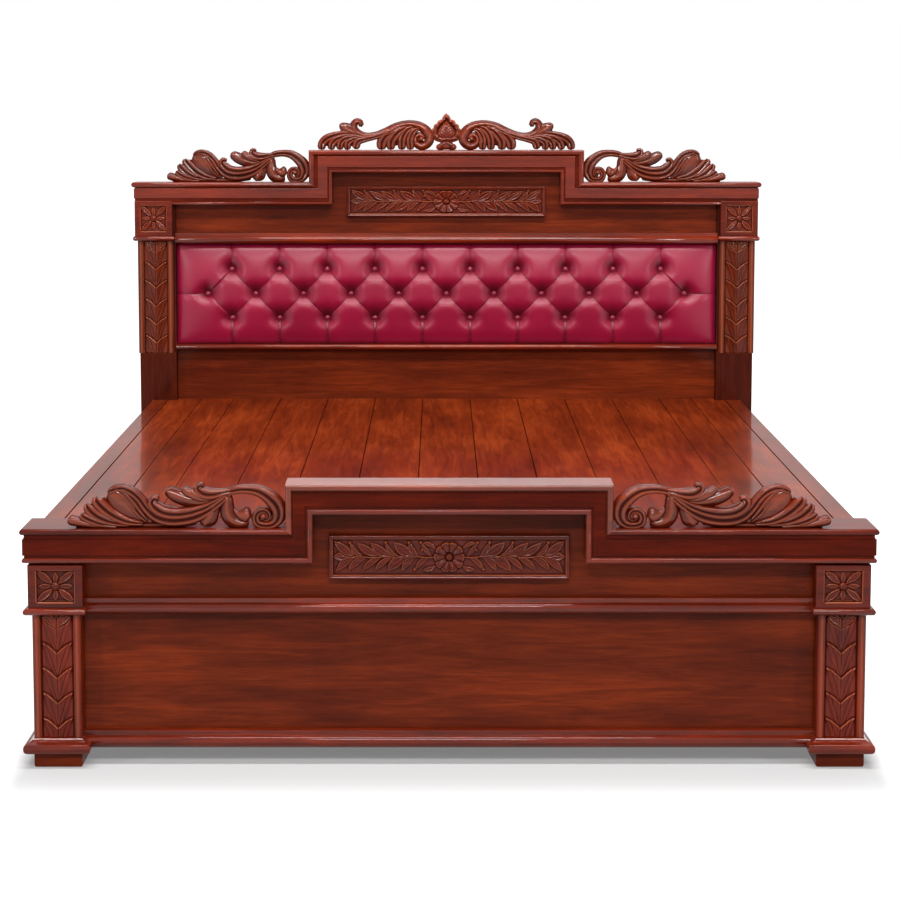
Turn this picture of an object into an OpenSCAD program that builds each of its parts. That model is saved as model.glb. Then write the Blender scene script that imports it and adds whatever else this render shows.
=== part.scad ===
// Upholstered double bed in lacquered hardwood: stepped headboard and footboard with mitred mouldings,
// openwork scroll carvings, a diamond-tufted leather pad and a boarded deck.
// X runs across the bed, Y runs from the footboard to the headboard, Z is up from the floor.

/* [Bed] */
// Width of the footboard over its pilasters
foot_w = 1980; // [1800:10:2200]
// Length of the boarded deck
deck_l = 2000; // [1850:10:2200]
// Height of the deck and of the footboard's side ledges
deck_z = 580; // [540:5:640]
// Step from the footboard's pilaster in to the side rail
rail_inset = 13; // [8:1:20]
// How far the head posts stand outside the side rails
head_overhang = 40; // [30:1:55]

/* [Footboard] */
// Width of a foot post
foot_post_w = 115; // [100:1:130]
// Depth of the footboard from pilaster face to inner face
foot_t = 113; // [105:1:130]
// Width of the raised centre section
foot_centre_w = 772; // [700:1:860]
// Rise of the centre section above the side ledges
foot_rise = 105; // [95:1:120]
// Depth of the centre section's cap
foot_centre_d = 100; // [96:1:104]
// Thickness of the cap boards
foot_cap_t = 15; // [12:1:18]
// Projection of the cap's nosing from the pilaster face
foot_nosing_out = 22; // [20:1:26]
// Height of the plinth block under a post
plinth_h = 33; // [25:1:45]
// Height of the base moulding
base_h = 37; // [30:1:44]
// Top of the mid rail above the floor
foot_mid_z = 404; // [400:1:410]
// Height of the mid rail
foot_mid_h = 36; // [32:1:40]
// Underside of the bottom rail above the floor
foot_bottom_z = 40; // [36:1:50]
// Height of the bottom rail
foot_bottom_h = 41; // [36:1:48]
// Height of a corner block
foot_block_h = 103; // [96:1:105]
// Underside of the corner block above the floor
foot_block_z = 388; // [386:1:392]

/* [Headboard] */
// Width of a head post
head_post_w = 119; // [105:1:130]
// Depth of a head post
head_post_d = 92; // [88:1:110]
// How far the head post stands in front of the lower panel
head_post_proud = 37; // [34:1:40]
// Height of the side caps above the floor
head_side_z = 1306; // [1296:1:1320]
// Rise of the centre section above the side caps
head_rise = 105; // [95:1:120]
// Width of the raised centre section
head_centre_w = 906; // [820:1:1000]
// Thickness of the cap boards
head_cap_t = 18; // [14:1:20]
// Projection of the cap's nosing from the plain post
head_nosing_out = 20; // [18:1:24]
// Underside of the carved pilaster above the floor
head_pilaster_z = 737; // [700:1:745]
// Underside of the corner block above the floor
head_block_z = 1128; // [1124:1:1132]
// Height of a corner block
head_block_h = 115; // [110:1:117]
// Underside of the lip rail under the leather
lip_z = 748; // [720:1:750]
// Height of the lip rail
lip_h = 17; // [12:1:19]
// Top of the mid rail over the leather
head_mid_z = 1136; // [1130:1:1142]
// Height of the mid rail over the leather
head_mid_h = 35; // [30:1:38]

/* [Mouldings] */
// Projection of the fascia from the pilaster face of the footboard
foot_fascia_out = 17; // [14:1:19]
// Projection of the fascia from the plain head post
head_fascia_out = 13; // [12:1:16]
// Width of the bead strips
bead_w = 13; // [10:1:14]
// Recess of the panels behind the footboard's pilaster face
foot_recess = 45; // [40:1:48]
// Recess of the frieze panel behind the head post's plain face
head_recess = 41; // [38:1:44]
// Thickness of the panels
panel_t = 14; // [10:1:16]
// Thickness of the carved pilaster boards
pilaster_t = 12; // [10:1:14]

/* [Deck] */
// Thickness of a side rail
rail_t = 48; // [40:1:54]
// Height of a side rail
rail_h = 260; // [200:5:300]
// Thickness of the deck boards
board_t = 20; // [16:1:26]
// Gap between deck boards
board_gap = 2; // [1:0.5:4]
// Number of wide deck boards
wide_boards = 9; // [7:2:9]
// Width of each narrow deck board, two on each side
narrow_board_w = 108; // [90:1:120]
// Number of cross bearers
bearers = 6; // [4:1:8]
// Height of the cross bearers
bearer_h = 70; // [50:1:90]
// Thickness of the cross bearers
bearer_t = 45; // [35:1:60]
// Height of the centre beam
beam_h = 80; // [60:1:110]
// Thickness of the centre beam
beam_t = 80; // [60:1:100]
// Side of a square centre leg
leg_w = 60; // [50:1:70]
// Number of centre legs
legs = 3; // [2:1:5]
// Height of the glides under the legs
glide_h = 12; // [8:1:20]
// Height of the ledger cleats on the rails
cleat_h = 40; // [30:1:50]
// Thickness of the ledger cleats
cleat_t = 35; // [25:1:40]

/* [Leather pad] */
// Spacing of the buttons across the bed
tuft_x = 158.5; // [150:0.5:162]
// Spacing of the button rows
tuft_z = 81; // [74:1:86]
// Buttons in the longest row
tuft_n = 11; // [9:2:11]
// Thickness of the pad at its crown
pad_t = 48; // [40:1:50]
// Thickness of the pad at its drawn-in edge
pad_edge_t = 28; // [22:1:32]
// Depth of the pits under the buttons
pit_d = 20; // [14:1:24]
// Diameter of a button
button_d = 20; // [16:1:24]
// Clearance between the leather and the wood round it
pad_clear = 0.4; // [0.3:0.1:1]

/* [Carvings] */
// Bare ledge outside a footboard side scroll
foot_scroll_end = 103; // [80:1:140]
// Height of a footboard side scroll
foot_scroll_h = 96; // [85:1:110]
// Bare ledge outside a headboard side scroll
head_scroll_end = 107; // [80:1:140]
// Height of a headboard side scroll
head_scroll_h = 98; // [85:1:110]
// Thickness of the footboard scrolls
foot_scroll_t = 36; // [30:1:42]
// Thickness of the headboard scrolls
head_scroll_t = 32; // [28:1:38]
// Height of the crest scrolls
crest_h = 100; // [90:1:115]
// Bare cap outside a crest scroll
crest_end = 26; // [15:1:60]
// Height of the crest finial
finial_h = 121; // [105:1:135]

/* [Hidden] */

$fn = 48;
eps = 0.01;
wood = [0.42, 0.15, 0.08];
wood_dark = [0.3, 0.1, 0.06];
wood_light = [0.55, 0.22, 0.1];
leather = [0.6, 0.1, 0.22];
steel = [0.6, 0.6, 0.62];

// Overshoot of a cut beyond the face it opens
over = 1;

// Footboard details
foot_band_in = 20;
base_step = 10;
torus_share = 0.55;
collar_h = 17;
collar_out = 18;
collar_in = 15;
foot_block_in = 8;
block_out = 7;
back_board_up = 20;
bead_step = 1;
plinth_chamfer = 3;

// Headboard details
head_rebate = 10;
backing_t = 12;
head_pilaster_in = 6;
head_pilaster_out = 4;
head_collar_out = 17;
head_block_in = 7;
head_block_out = 11;
head_bead_out = 10;
head_rail_in = 3;

// Pilaster boards, in shares of their width and thickness
reed_share = 0.06;
reeds_at = [0.04, 0.1, 0.9, 0.96];
field_at = [0.19, 0.81];
groove_share = 0.65;
field_share = 0.8;

// Corner blocks and tablets
recess_share = 0.77;
recess_d = 6;
boss_d = 24;
boss_sink = 0.2;
tablet_t = 16;
tablet_d = 5;
border_share = 0.1;
tablet_boss_share = 0.35;
foot_tablet_margin = 35.5;
foot_tablet_h = 107;
foot_tablet_up = 99;
head_tablet_margin = 47.5;
head_tablet_h = 101;
head_tablet_up = 104;
rail_fillet_share = 0.28;

// Hooks that join the rails to the posts
plate_w = 24;
plate_t = 3;
plate_h = 160;
hook_t = 4;
hook_h = 26;
hook_out = 9;
hook_drop = 5;
hook_spread = 40;
slot_clear = 0.5;
mortise_d = 16;
mortise_clear = 3;
screw_l = 32;
screw_d = 4;
screw_spread = 68;

// Deck details
cleat_short = 5;
bearer_inset = 30;
glide_d = 42;

// Carving details
foot_carving_in = 28;
head_carving_in = 40;
ease = 0.4;
finial_w = 94;
crest_start = finial_w * 0.52;

// Stations along the bed, from the nosing of the footboard to the back of the headboard
bed_l = foot_nosing_out + foot_t + deck_l + head_post_d - head_post_proud;
foot_front_y = -bed_l / 2;
foot_face_y = foot_front_y + foot_nosing_out;
foot_core_y = foot_face_y + pilaster_t;
foot_back_y = foot_face_y + foot_t;
foot_panel_y = foot_face_y + foot_recess;
head_panel_y = foot_back_y + deck_l;
head_face_y = head_panel_y - head_post_proud;
head_back_y = bed_l / 2;
head_front_y = head_face_y - head_nosing_out;
head_core_y = head_face_y + head_rebate;
head_frieze_y = head_face_y + head_recess;
head_backing_y = head_frieze_y + panel_t;

// Stations across the bed
foot_x = foot_w / 2;
foot_in_x = foot_x - foot_post_w;
rail_x = foot_x - rail_inset;
rail_in_x = rail_x - rail_t;
head_x = rail_x + head_overhang;
head_in_x = head_x - head_post_w;
foot_riser_x = foot_centre_w / 2;
head_riser_x = head_centre_w / 2;

// Heights
foot_cap_z = deck_z - foot_cap_t;
foot_top_z = deck_z + foot_rise;
head_cap_z = head_side_z - head_cap_t;
head_top_z = head_side_z + head_rise;
rail_z = deck_z - rail_h;
bearer_z = deck_z - board_t - bearer_h;
beam_z = bearer_z - beam_h;
plate_z = rail_z + rail_h / 2;
plate_x = rail_x - rail_t / 2;
hook_zs = [plate_z - hook_spread, plate_z + hook_spread];
screw_zs = [plate_z - screw_spread, plate_z + screw_spread];

// Offsets of each moulding from the stepped outline: [side run, riser, centre run]
foot_fascia_outer = [25, 19, 21];
foot_fascia_inner = [64, 45, 52];
foot_bead_outer = [70, 51, 59];
head_fascia_outer = [21, 30, 20];
head_fascia_inner = [54, 61, 57];
head_bead_outer = [63, 64, 62];

// Carvings between the risers and the ends of the ledges, and tablets between the beads
foot_scroll_l = foot_x + foot_nosing_out - foot_riser_x - foot_scroll_end;
head_scroll_l = head_x + head_nosing_out - head_riser_x - head_scroll_end;
crest_l = head_riser_x - crest_end;
foot_tablet_w = 2 * (foot_riser_x - foot_bead_outer[1] - bead_w - foot_tablet_margin);
head_tablet_w = 2 * (head_riser_x - head_bead_outer[1] - bead_w - head_tablet_margin);
foot_tablet_z = foot_mid_z + foot_tablet_up;
head_tablet_z = head_mid_z + head_tablet_up;

// Sides: a piece is drawn on the right and mirrored to the left
module side(s) {
    if (s > 0) children();
    else mirror([1, 0, 0]) children();
}

// Box between two corners
module box(a, b) {
    translate(a) cube(b - a);
}

// Stepped outline, right half mirrored: [end x, side z, riser x, centre z]
function stepped(x, side_z, riser, top_z) = [
    [x, side_z], [riser, side_z], [riser, top_z], [-riser, top_z], [-riser, side_z], [-x, side_z]
];

// Points of an outline in the reverse order
function reversed(p) = [for (i = [len(p) - 1 : -1 : 0]) p[i]];

// Plate with an upright outline: extruded from y0 back to y1
module upright(y0, y1) {
    translate([0, y1, 0]) rotate([90, 0, 0]) linear_extrude(y1 - y0) children();
}

// Band between two stepped outlines
module stepped_band(x, side_z, riser, top_z, outer, inner, y0, y1) {
    upright(y0, y1)
        polygon(concat(
            stepped(x, side_z - outer[0], riser - outer[1], top_z - outer[2]),
            reversed(stepped(x, side_z - inner[0], riser - inner[1], top_z - inner[2]))
        ));
}

// Section of a board with a half-round nose: nose at the origin, depth d, thickness t below zero
module nosed_section(d, t) {
    translate([t / 2, -t / 2]) circle(d = t);
    translate([t / 2, -t]) square([d - t / 2, t]);
}

// Nosed strip along X, its nose facing the footboard side, top at z
module nosed_x(x0, x1, y0, z, d, t) {
    translate([x0, y0, z]) rotate([90, 0, 90]) linear_extrude(x1 - x0) nosed_section(d, t);
}

// Nosed strip that stands upright, its outer face at x and its thickness towards the middle
module nosed_z(x, y0, z0, z1, d, t) {
    translate([x, y0, z0]) mirror([1, -1, 0]) linear_extrude(z1 - z0) nosed_section(d, t);
}

// Band with a half-round edge on its front and outer sides, wrapped round a post
module wrap_nosed(x_in, x_out, y0, y1, z0, z1) {
    t = z1 - z0;
    intersection() {
        nosed_x(x_in, x_out, y0, z1, y1 - y0, t);
        translate([x_out, y1, z1]) rotate([90, 0, 0]) mirror([1, 0, 0])
            linear_extrude(y1 - y0) nosed_section(x_out - x_in, t);
    }
}

// Cut for the mitre where a side run of width w meets a riser at x and z
module mitre_cut(x, z, w) {
    polygon([[x, z], [x, z + over], [x - w - over, z + over], [x - w - over, z - w - over], [x - w, z - w]]);
}

// Nosed strip along a stepped outline, mitred at its four corners; y0 is the nose, y1 the back
module nosed_steps(x, side_z, riser, top_z, w, y0, y1) {
    for (s = [-1, 1]) side(s) {
        difference() {
            nosed_x(riser - w, x, y0, side_z, y1 - y0, w);
            upright(y0 - over, y1 + over) mitre_cut(riser, side_z, w);
        }
        nosed_riser(side_z, riser, top_z, w, y0, y1);
    }
    nosed_top(riser, top_z, w, y0, y1);
}

// Upright run of a nosed strip on the right side
module nosed_riser(side_z, riser, top_z, w, y0, y1) {
    intersection() {
        nosed_z(riser, y0, side_z - w, top_z, y1 - y0, w);
        upright(y0, y1) polygon([
            [riser, side_z], [riser, top_z], [riser - w, top_z - w], [riser - w, side_z - w]
        ]);
    }
}

// Centre run of a nosed strip
module nosed_top(riser, top_z, w, y0, y1) {
    intersection() {
        nosed_x(-riser, riser, y0, top_z, y1 - y0, w);
        upright(y0, y1) polygon([
            [-riser, top_z], [riser, top_z], [riser - w, top_z - w], [-riser + w, top_z - w]
        ]);
    }
}

// Side cap on the right: nosed on its front and its end, mitred to the riser of the centre section
module side_cap(riser, x_out, y0, y1, z, t) {
    difference() {
        wrap_nosed(riser - t, x_out, y0, y1, z - t, z);
        upright(y0 - over, y1 + over) mitre_cut(riser, z, t);
    }
}

// Footboard

module foot_post(s) {
    color(wood_dark) side(s) difference() {
        box([foot_in_x, foot_core_y, plinth_h], [foot_x, foot_back_y, foot_cap_z]);
        rail_mortise(foot_back_y - mortise_d, foot_back_y);
        plate(foot_back_y - plate_t, foot_back_y + over);
        plate_holes(foot_back_y - screw_l, foot_back_y + over);
    }
}

module foot_plinth(s) {
    c = plinth_chamfer;
    color(wood_dark) side(s) upright(foot_face_y, foot_back_y) polygon([
        [foot_in_x, plinth_h], [foot_x, plinth_h], [foot_x, c],
        [foot_x - c, 0], [foot_in_x + c, 0], [foot_in_x, c]
    ]);
}

// Band with a half-round edge round the front and outer side of a foot post, turned in at its inner side
module foot_band(out, in, z0, z1) {
    x0 = foot_in_x - in;
    y0 = foot_face_y - out;
    difference() {
        intersection() {
            wrap_nosed(x0, foot_x + out, y0, foot_back_y, z0, z1);
            side_nose(x0, foot_x + out, y0, foot_back_y, z0, z1);
        }
        box([foot_in_x, foot_core_y, z0 - over], [foot_x, foot_back_y + over, z1 + over]);
        box([x0 - over, foot_core_y, z0 - over], [foot_in_x + eps, foot_back_y + over, z1 + over]);
    }
}

// Half-round edge on the inner side of a band
module side_nose(x_in, x_out, y0, y1, z0, z1) {
    translate([x_in, y1, z1]) rotate([90, 0, 0])
        linear_extrude(y1 - y0) nosed_section(x_out - x_in, z1 - z0);
}

module foot_base_mouldings() {
    torus_z = plinth_h + base_h * torus_share;
    color(wood) for (s = [-1, 1]) side(s) {
        foot_band(foot_nosing_out, foot_band_in, plinth_h, torus_z);
        foot_band(foot_nosing_out - base_step, foot_band_in - base_step, torus_z, plinth_h + base_h);
    }
}

module foot_collars() {
    color(wood) for (s = [-1, 1]) side(s)
        foot_band(collar_out, collar_in, foot_block_z - collar_h, foot_block_z);
}

// Pilaster board with two reeds along each edge and a raised field between them
module pilaster(x0, x1, y0, y1, z0, z1) {
    w = x1 - x0;
    groove_y = y1 - (y1 - y0) * groove_share;
    field_y = y1 - (y1 - y0) * field_share;
    box([x0, groove_y, z0], [x1, y1, z1]);
    for (u = reeds_at)
        translate([x0 + u * w, groove_y, z0]) cylinder(d = w * reed_share, h = z1 - z0);
    box([x0 + w * field_at[0], field_y, z0], [x0 + w * field_at[1], groove_y + eps, z1]);
}

module foot_pilaster(s) {
    color(wood) side(s)
        pilaster(foot_in_x, foot_x, foot_face_y, foot_core_y, plinth_h + base_h, foot_block_z - collar_h);
}

// Recess in the face of a corner block: x, y and z are at the middle of that face
module rosette_recess(x, y, z, w, h) {
    box([x - w / 2, y - over, z - h / 2], [x + w / 2, y + recess_d, z + h / 2]);
}

module foot_corner_block(s) {
    x0 = foot_in_x - foot_block_in;
    x_mid = (foot_in_x + foot_x) / 2;
    z1 = foot_block_z + foot_block_h;
    z_mid = foot_block_z + foot_block_h / 2;
    y0 = foot_face_y - block_out;
    color(wood) side(s) {
        difference() {
            box([x0, y0, foot_block_z], [foot_x + block_out, foot_back_y, z1]);
            box([x0 - over, foot_core_y, foot_block_z - over], [foot_x, foot_back_y + over, z1 + over]);
            rosette_recess(x_mid, y0, z_mid, foot_post_w * recess_share, foot_block_h * recess_share);
        }
        boss(x_mid, y0 + recess_d, z_mid, boss_d);
    }
}

// Low domed boss that faces the footboard side
module boss(x, y, z, d) {
    translate([x, y, z]) rotate([90, 0, 0]) rotate_extrude() difference() {
        translate([0, -d * boss_sink]) circle(d = d);
        translate([-d, -d * 2]) square([d, d * 4]);
        translate([-d, -d * 2]) square([d * 2, d * 2]);
    }
}

module foot_side_caps() {
    color(wood_light) for (s = [-1, 1]) side(s)
        side_cap(foot_riser_x, foot_x + foot_nosing_out, foot_front_y, foot_back_y, deck_z, foot_cap_t);
}

module foot_top_cap() {
    y1 = foot_front_y + foot_centre_d;
    color(wood_light) {
        nosed_top(foot_riser_x, foot_top_z, foot_cap_t, foot_front_y, y1);
        for (s = [-1, 1]) side(s)
            nosed_riser(deck_z, foot_riser_x, foot_top_z, foot_cap_t, foot_front_y, y1);
    }
}

module foot_fascia() {
    x = foot_x + foot_fascia_out;
    outer = foot_fascia_outer;
    inner = foot_fascia_inner;
    y0 = foot_face_y - foot_fascia_out;
    color(wood) {
        stepped_band(x, deck_z, foot_riser_x, foot_top_z, outer, inner, y0, foot_core_y);
        for (s = [-1, 1]) side(s)
            box([foot_x, foot_core_y - eps, deck_z - inner[0]], [x, foot_back_y, deck_z - outer[0]]);
    }
}

module foot_bead() {
    o = foot_bead_outer;
    w = bead_w;
    out = foot_fascia_out + bead_step;
    x = foot_riser_x - o[1];
    y0 = foot_face_y - out;
    z = deck_z - o[0];
    color(wood) {
        for (s = [-1, 1]) side(s) {
            difference() {
                wrap_nosed(x - w, foot_x + out, y0, foot_back_y, z - w, z);
                box([0, foot_core_y, z - w - over], [foot_x, foot_back_y + over, z + over]);
                upright(y0 - over, foot_core_y + over) mitre_cut(x, z, w);
            }
            nosed_riser(z, x, foot_top_z - o[2], w, y0, foot_core_y);
        }
        nosed_top(x, foot_top_z - o[2], w, y0, foot_core_y);
    }
}

module foot_top_frame() {
    outer = [for (v = foot_bead_outer) foot_cap_t];
    inner = [for (v = foot_bead_outer) v + bead_w];
    y1 = foot_panel_y + panel_t;
    color(wood_dark)
        stepped_band(foot_in_x, deck_z, foot_riser_x, foot_top_z, outer, inner, foot_core_y, y1);
}

// Panel under a stepped frame, down to z0
module frieze(x, side_z, riser, top_z, inner, z0, y0) {
    upright(y0, y0 + panel_t) polygon(concat(
        stepped(x, side_z - inner[0], riser - inner[1], top_z - inner[2]), [[-x, z0], [x, z0]]
    ));
}

module foot_frieze_panel() {
    inner = [for (v = foot_bead_outer) v + bead_w];
    color(wood) frieze(foot_in_x, deck_z, foot_riser_x, foot_top_z, inner, foot_mid_z, foot_panel_y);
}

// Carved tablet: a plate with a raised border and a domed boss at its centre
module tablet(w, h, z, y, t) {
    x_in = w / 2 - h * border_share;
    z_in = h / 2 - h * border_share;
    difference() {
        box([-w / 2, y - t, z - h / 2], [w / 2, y, z + h / 2]);
        box([-x_in, y - t - over, z - z_in], [x_in, y - t + tablet_d, z + z_in]);
    }
    boss(0, y - t + tablet_d, z, h * tablet_boss_share);
}

module foot_tablet() {
    color(wood_light) tablet(foot_tablet_w, foot_tablet_h, foot_tablet_z, foot_panel_y, tablet_t);
}

// Section of a rail with a half-round moulding under a set-back fillet: front at 0, top at 0
module rail_section(d, h) {
    fillet = h * rail_fillet_share;
    r = (h - fillet) / 2;
    translate([r, -h + r]) circle(r = r);
    translate([r, -h]) square([d - r, h]);
}

module moulded_rail(x, y0, y1, z, h) {
    translate([-x, y0, z]) rotate([90, 0, 90]) linear_extrude(2 * x) rail_section(y1 - y0, h);
}

module foot_mid_rail() {
    color(wood) moulded_rail(foot_in_x, foot_core_y, foot_panel_y + panel_t, foot_mid_z, foot_mid_h);
}

module foot_bottom_rail() {
    z = foot_bottom_z + foot_bottom_h;
    color(wood) moulded_rail(foot_in_x, foot_core_y, foot_panel_y + panel_t, z, foot_bottom_h);
}

module foot_lower_panel() {
    color(wood) box([-foot_in_x, foot_panel_y, foot_bottom_z + foot_bottom_h],
                    [foot_in_x, foot_panel_y + panel_t, foot_mid_z - foot_mid_h]);
}

module foot_back_board() {
    y0 = foot_front_y + foot_centre_d;
    color(wood_dark) {
        box([-foot_in_x, y0, foot_bottom_z + back_board_up], [foot_in_x, foot_back_y, foot_cap_z]);
        box([-foot_riser_x + foot_cap_t, y0, foot_cap_z - eps],
            [foot_riser_x - foot_cap_t, foot_back_y, deck_z]);
    }
}

module foot_centre_back() {
    y1 = foot_front_y + foot_centre_d;
    color(wood_dark) box([-foot_riser_x + foot_cap_t, y1 - panel_t, deck_z - foot_bead_outer[0]],
                         [foot_riser_x - foot_cap_t, y1, foot_top_z - foot_cap_t]);
}

// Headboard

module head_post(s) {
    color(wood_dark) side(s) difference() {
        box([head_in_x, head_face_y, 0], [head_x, head_back_y, head_cap_z]);
        box([head_in_x - over, head_face_y - over, head_pilaster_z],
            [head_x + over, head_core_y, head_cap_z + over]);
        mirror_y_at(head_face_y) {
            rail_mortise(head_face_y - mortise_d, head_face_y);
            plate(head_face_y - plate_t, head_face_y + over);
            plate_holes(head_face_y - screw_l, head_face_y + over);
        }
    }
}

// Mirror about the plane y
module mirror_y_at(y) {
    translate([0, 2 * y, 0]) mirror([0, 1, 0]) children();
}

module head_pilaster(s) {
    x0 = head_in_x + head_pilaster_in;
    x1 = head_x + head_pilaster_out;
    y0 = head_face_y - head_pilaster_out;
    color(wood) side(s) pilaster(x0, x1, y0, head_core_y, head_pilaster_z, head_block_z - collar_h);
}

module head_collars() {
    x1 = head_x + head_collar_out;
    y0 = head_face_y - head_collar_out;
    z0 = head_block_z - collar_h;
    color(wood) for (s = [-1, 1]) side(s) difference() {
        intersection() {
            wrap_nosed(head_in_x, x1, y0, head_back_y, z0, head_block_z);
            side_nose(head_in_x, x1, y0, head_back_y, z0, head_block_z);
        }
        box([head_in_x - over, head_core_y, 0], [head_x, head_back_y + over, head_side_z]);
    }
}

module head_corner_block(s) {
    x0 = head_in_x + head_block_in;
    x1 = head_x + head_block_out;
    x_mid = (x0 + x1) / 2;
    y0 = head_face_y - head_block_out;
    z_mid = head_block_z + head_block_h / 2;
    color(wood) side(s) {
        difference() {
            box([x0, y0, head_block_z], [x1, head_back_y, head_block_z + head_block_h]);
            box([head_in_x - over, head_core_y, 0], [head_x, head_back_y + over, head_side_z]);
            rosette_recess(x_mid, y0, z_mid, head_post_w * recess_share, head_block_h * recess_share);
        }
        boss(x_mid, y0 + recess_d, z_mid, boss_d);
    }
}

module head_side_caps() {
    color(wood_light) for (s = [-1, 1]) side(s)
        side_cap(head_riser_x, head_x + head_nosing_out, head_front_y, head_back_y, head_side_z, head_cap_t);
}

module head_top_cap() {
    color(wood_light) {
        nosed_top(head_riser_x, head_top_z, head_cap_t, head_front_y, head_back_y);
        for (s = [-1, 1]) side(s)
            nosed_riser(head_side_z, head_riser_x, head_top_z, head_cap_t, head_front_y, head_back_y);
    }
}

module head_fascia() {
    x = head_x + head_fascia_out;
    outer = head_fascia_outer;
    inner = head_fascia_inner;
    y0 = head_face_y - head_fascia_out;
    color(wood) {
        stepped_band(x, head_side_z, head_riser_x, head_top_z, outer, inner, y0, head_core_y);
        for (s = [-1, 1]) side(s)
            box([head_x, head_core_y - eps, head_side_z - inner[0]], [x, head_back_y, head_side_z - outer[0]]);
    }
}

module head_bead() {
    o = head_bead_outer;
    x = head_in_x + head_block_in;
    y0 = head_face_y - head_bead_out;
    color(wood)
        nosed_steps(x, head_side_z - o[0], head_riser_x - o[1], head_top_z - o[2], bead_w, y0, head_core_y);
}

module head_top_frame() {
    outer = [for (v = head_bead_outer) head_cap_t];
    inner = [for (v = head_bead_outer) v + bead_w];
    y1 = head_backing_y;
    color(wood_dark)
        stepped_band(head_in_x, head_side_z, head_riser_x, head_top_z, outer, inner, head_core_y, y1);
}

module head_frieze_panel() {
    inner = [for (v = head_bead_outer) v + bead_w];
    color(wood) frieze(head_in_x, head_side_z, head_riser_x, head_top_z, inner, head_mid_z, head_frieze_y);
}

module head_tablet() {
    color(wood_light) tablet(head_tablet_w, head_tablet_h, head_tablet_z, head_frieze_y, tablet_t);
}

module head_mid_rail() {
    color(wood) moulded_rail(head_in_x, head_face_y + head_rail_in, head_backing_y, head_mid_z, head_mid_h);
}

module head_lip_rail() {
    color(wood) translate([-head_in_x, head_face_y, lip_z + lip_h]) rotate([90, 0, 90])
        linear_extrude(2 * head_in_x) nosed_section(head_backing_y - head_face_y, lip_h);
}

module head_lower_panel() {
    color(wood) box([-head_in_x, head_panel_y, rail_z], [head_in_x, head_backing_y, lip_z]);
}

module head_backing_board() {
    t = head_cap_t;
    outline = stepped(head_in_x, head_side_z - t, head_riser_x - t, head_top_z - t);
    color(wood_dark) upright(head_backing_y, head_backing_y + backing_t)
        polygon(concat(outline, [[-head_in_x, rail_z], [head_in_x, rail_z]]));
}

// Leather pad: thickness at a place on the pad, measured from its middle

pad_w = 2 * (head_in_x - pad_clear);
pad_z0 = lip_z + lip_h + pad_clear;
pad_z1 = head_mid_z - head_mid_h - pad_clear;
pad_h = pad_z1 - pad_z0;
pad_z = (pad_z0 + pad_z1) / 2;

// Shape of the leather: how full its ridges are, how square its edges, how wide its pits
ridge_power = 0.6;
edge_power = 8;
edge_root = 0.5;
puff_share = 0.45;
pit_r = 22;
button_taper = 1.15;

// Ridge between creases: none on a crease, full midway between two
function ridge(q) = pow(abs(sin(180 * q)), ridge_power);
// Fall of the crown towards an edge: q is 0 in the middle and 1 at the edge
function fall(q) = pow(max(0, 1 - pow(abs(q), edge_power)), edge_root);
// Creases run where a or b is whole; a button sits where both are
function crease_a(x, z) = x / tuft_x + z / tuft_z / 2;
function crease_b(x, z) = x / tuft_x - z / tuft_z / 2;
// Distance to the nearest button, from how far a and b are from whole numbers
function button_gap(da, db) = norm([tuft_x / 2 * (da + db), tuft_z * (da - db)]);
function to_button(a, b) = button_gap(a - round(a), b - round(b));
function puff(x, z) =
    abs(z) > tuft_z ? ridge(x / tuft_x + 1 / 2)
    : abs(x) > tuft_x * (tuft_n - 1) / 2 ? ridge(z / tuft_z / 2)
    : ridge(crease_a(x, z)) * ridge(crease_b(x, z));
function on_buttons(x, z) = abs(z) < tuft_z * 3 / 2 && abs(x) < tuft_x * tuft_n / 2;
function pit(x, z) =
    on_buttons(x, z) ? pit_d * exp(-pow(to_button(crease_a(x, z), crease_b(x, z)) / pit_r, 2)) : 0;
function crown(x, z) =
    (pad_t - pad_edge_t) * fall(2 * x / pad_w) * fall(2 * z / pad_h) * (1 - puff_share * (1 - puff(x, z)));
function pad_depth(x, z) = pad_edge_t + crown(x, z) - pit(x, z);

// Grid lines across and up the pad: they pass through every button and end at the edges
pad_dx = tuft_x / 6;
pad_dz = tuft_z / 3;
pad_margin = 4;
pad_kx = floor((pad_w / 2 - pad_margin) / pad_dx);
pad_kz = floor((pad_h / 2 - pad_margin) / pad_dz);
pad_xs = concat([-pad_w / 2], [for (i = [-pad_kx : pad_kx]) i * pad_dx], [pad_w / 2]);
pad_zs = concat([-pad_h / 2], [for (i = [-pad_kz : pad_kz]) i * pad_dz], [pad_h / 2]);

module leather_pad() {
    nx = len(pad_xs);
    nz = len(pad_zs);
    back_y = head_backing_y - pad_clear;
    front = [for (z = pad_zs) for (x = pad_xs) [x, back_y - pad_depth(x, z), pad_z + z]];
    corners = [for (j = [0 : nz - 2]) for (i = [0 : nx - 2]) i + j * nx];
    cells = [for (i = corners) [i, i + 1, i + 1 + nx, i + nx]];
    n = nx * nz;
    rim = concat(
        [for (i = [0 : nx - 1]) i], [for (j = [1 : nz - 1]) j * nx + nx - 1],
        [for (i = [nx - 2 : -1 : 0]) (nz - 1) * nx + i], [for (j = [nz - 2 : -1 : 1]) j * nx]
    );
    m = len(rim);
    back = [for (r = rim) [front[r][0], back_y, front[r][2]]];
    color(leather) polyhedron(
        concat(front, back, [[0, back_y, pad_z]]),
        concat(
            [for (c = cells) [c[0], c[2], c[1]]], [for (c = cells) [c[0], c[3], c[2]]],
            [for (i = [0 : m - 1]) [rim[i], rim[(i + 1) % m], n + (i + 1) % m]],
            [for (i = [0 : m - 1]) [rim[i], n + (i + 1) % m, n + i]],
            [for (i = [0 : m - 1]) [n + i, n + (i + 1) % m, n + m]]
        )
    );
}

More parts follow.
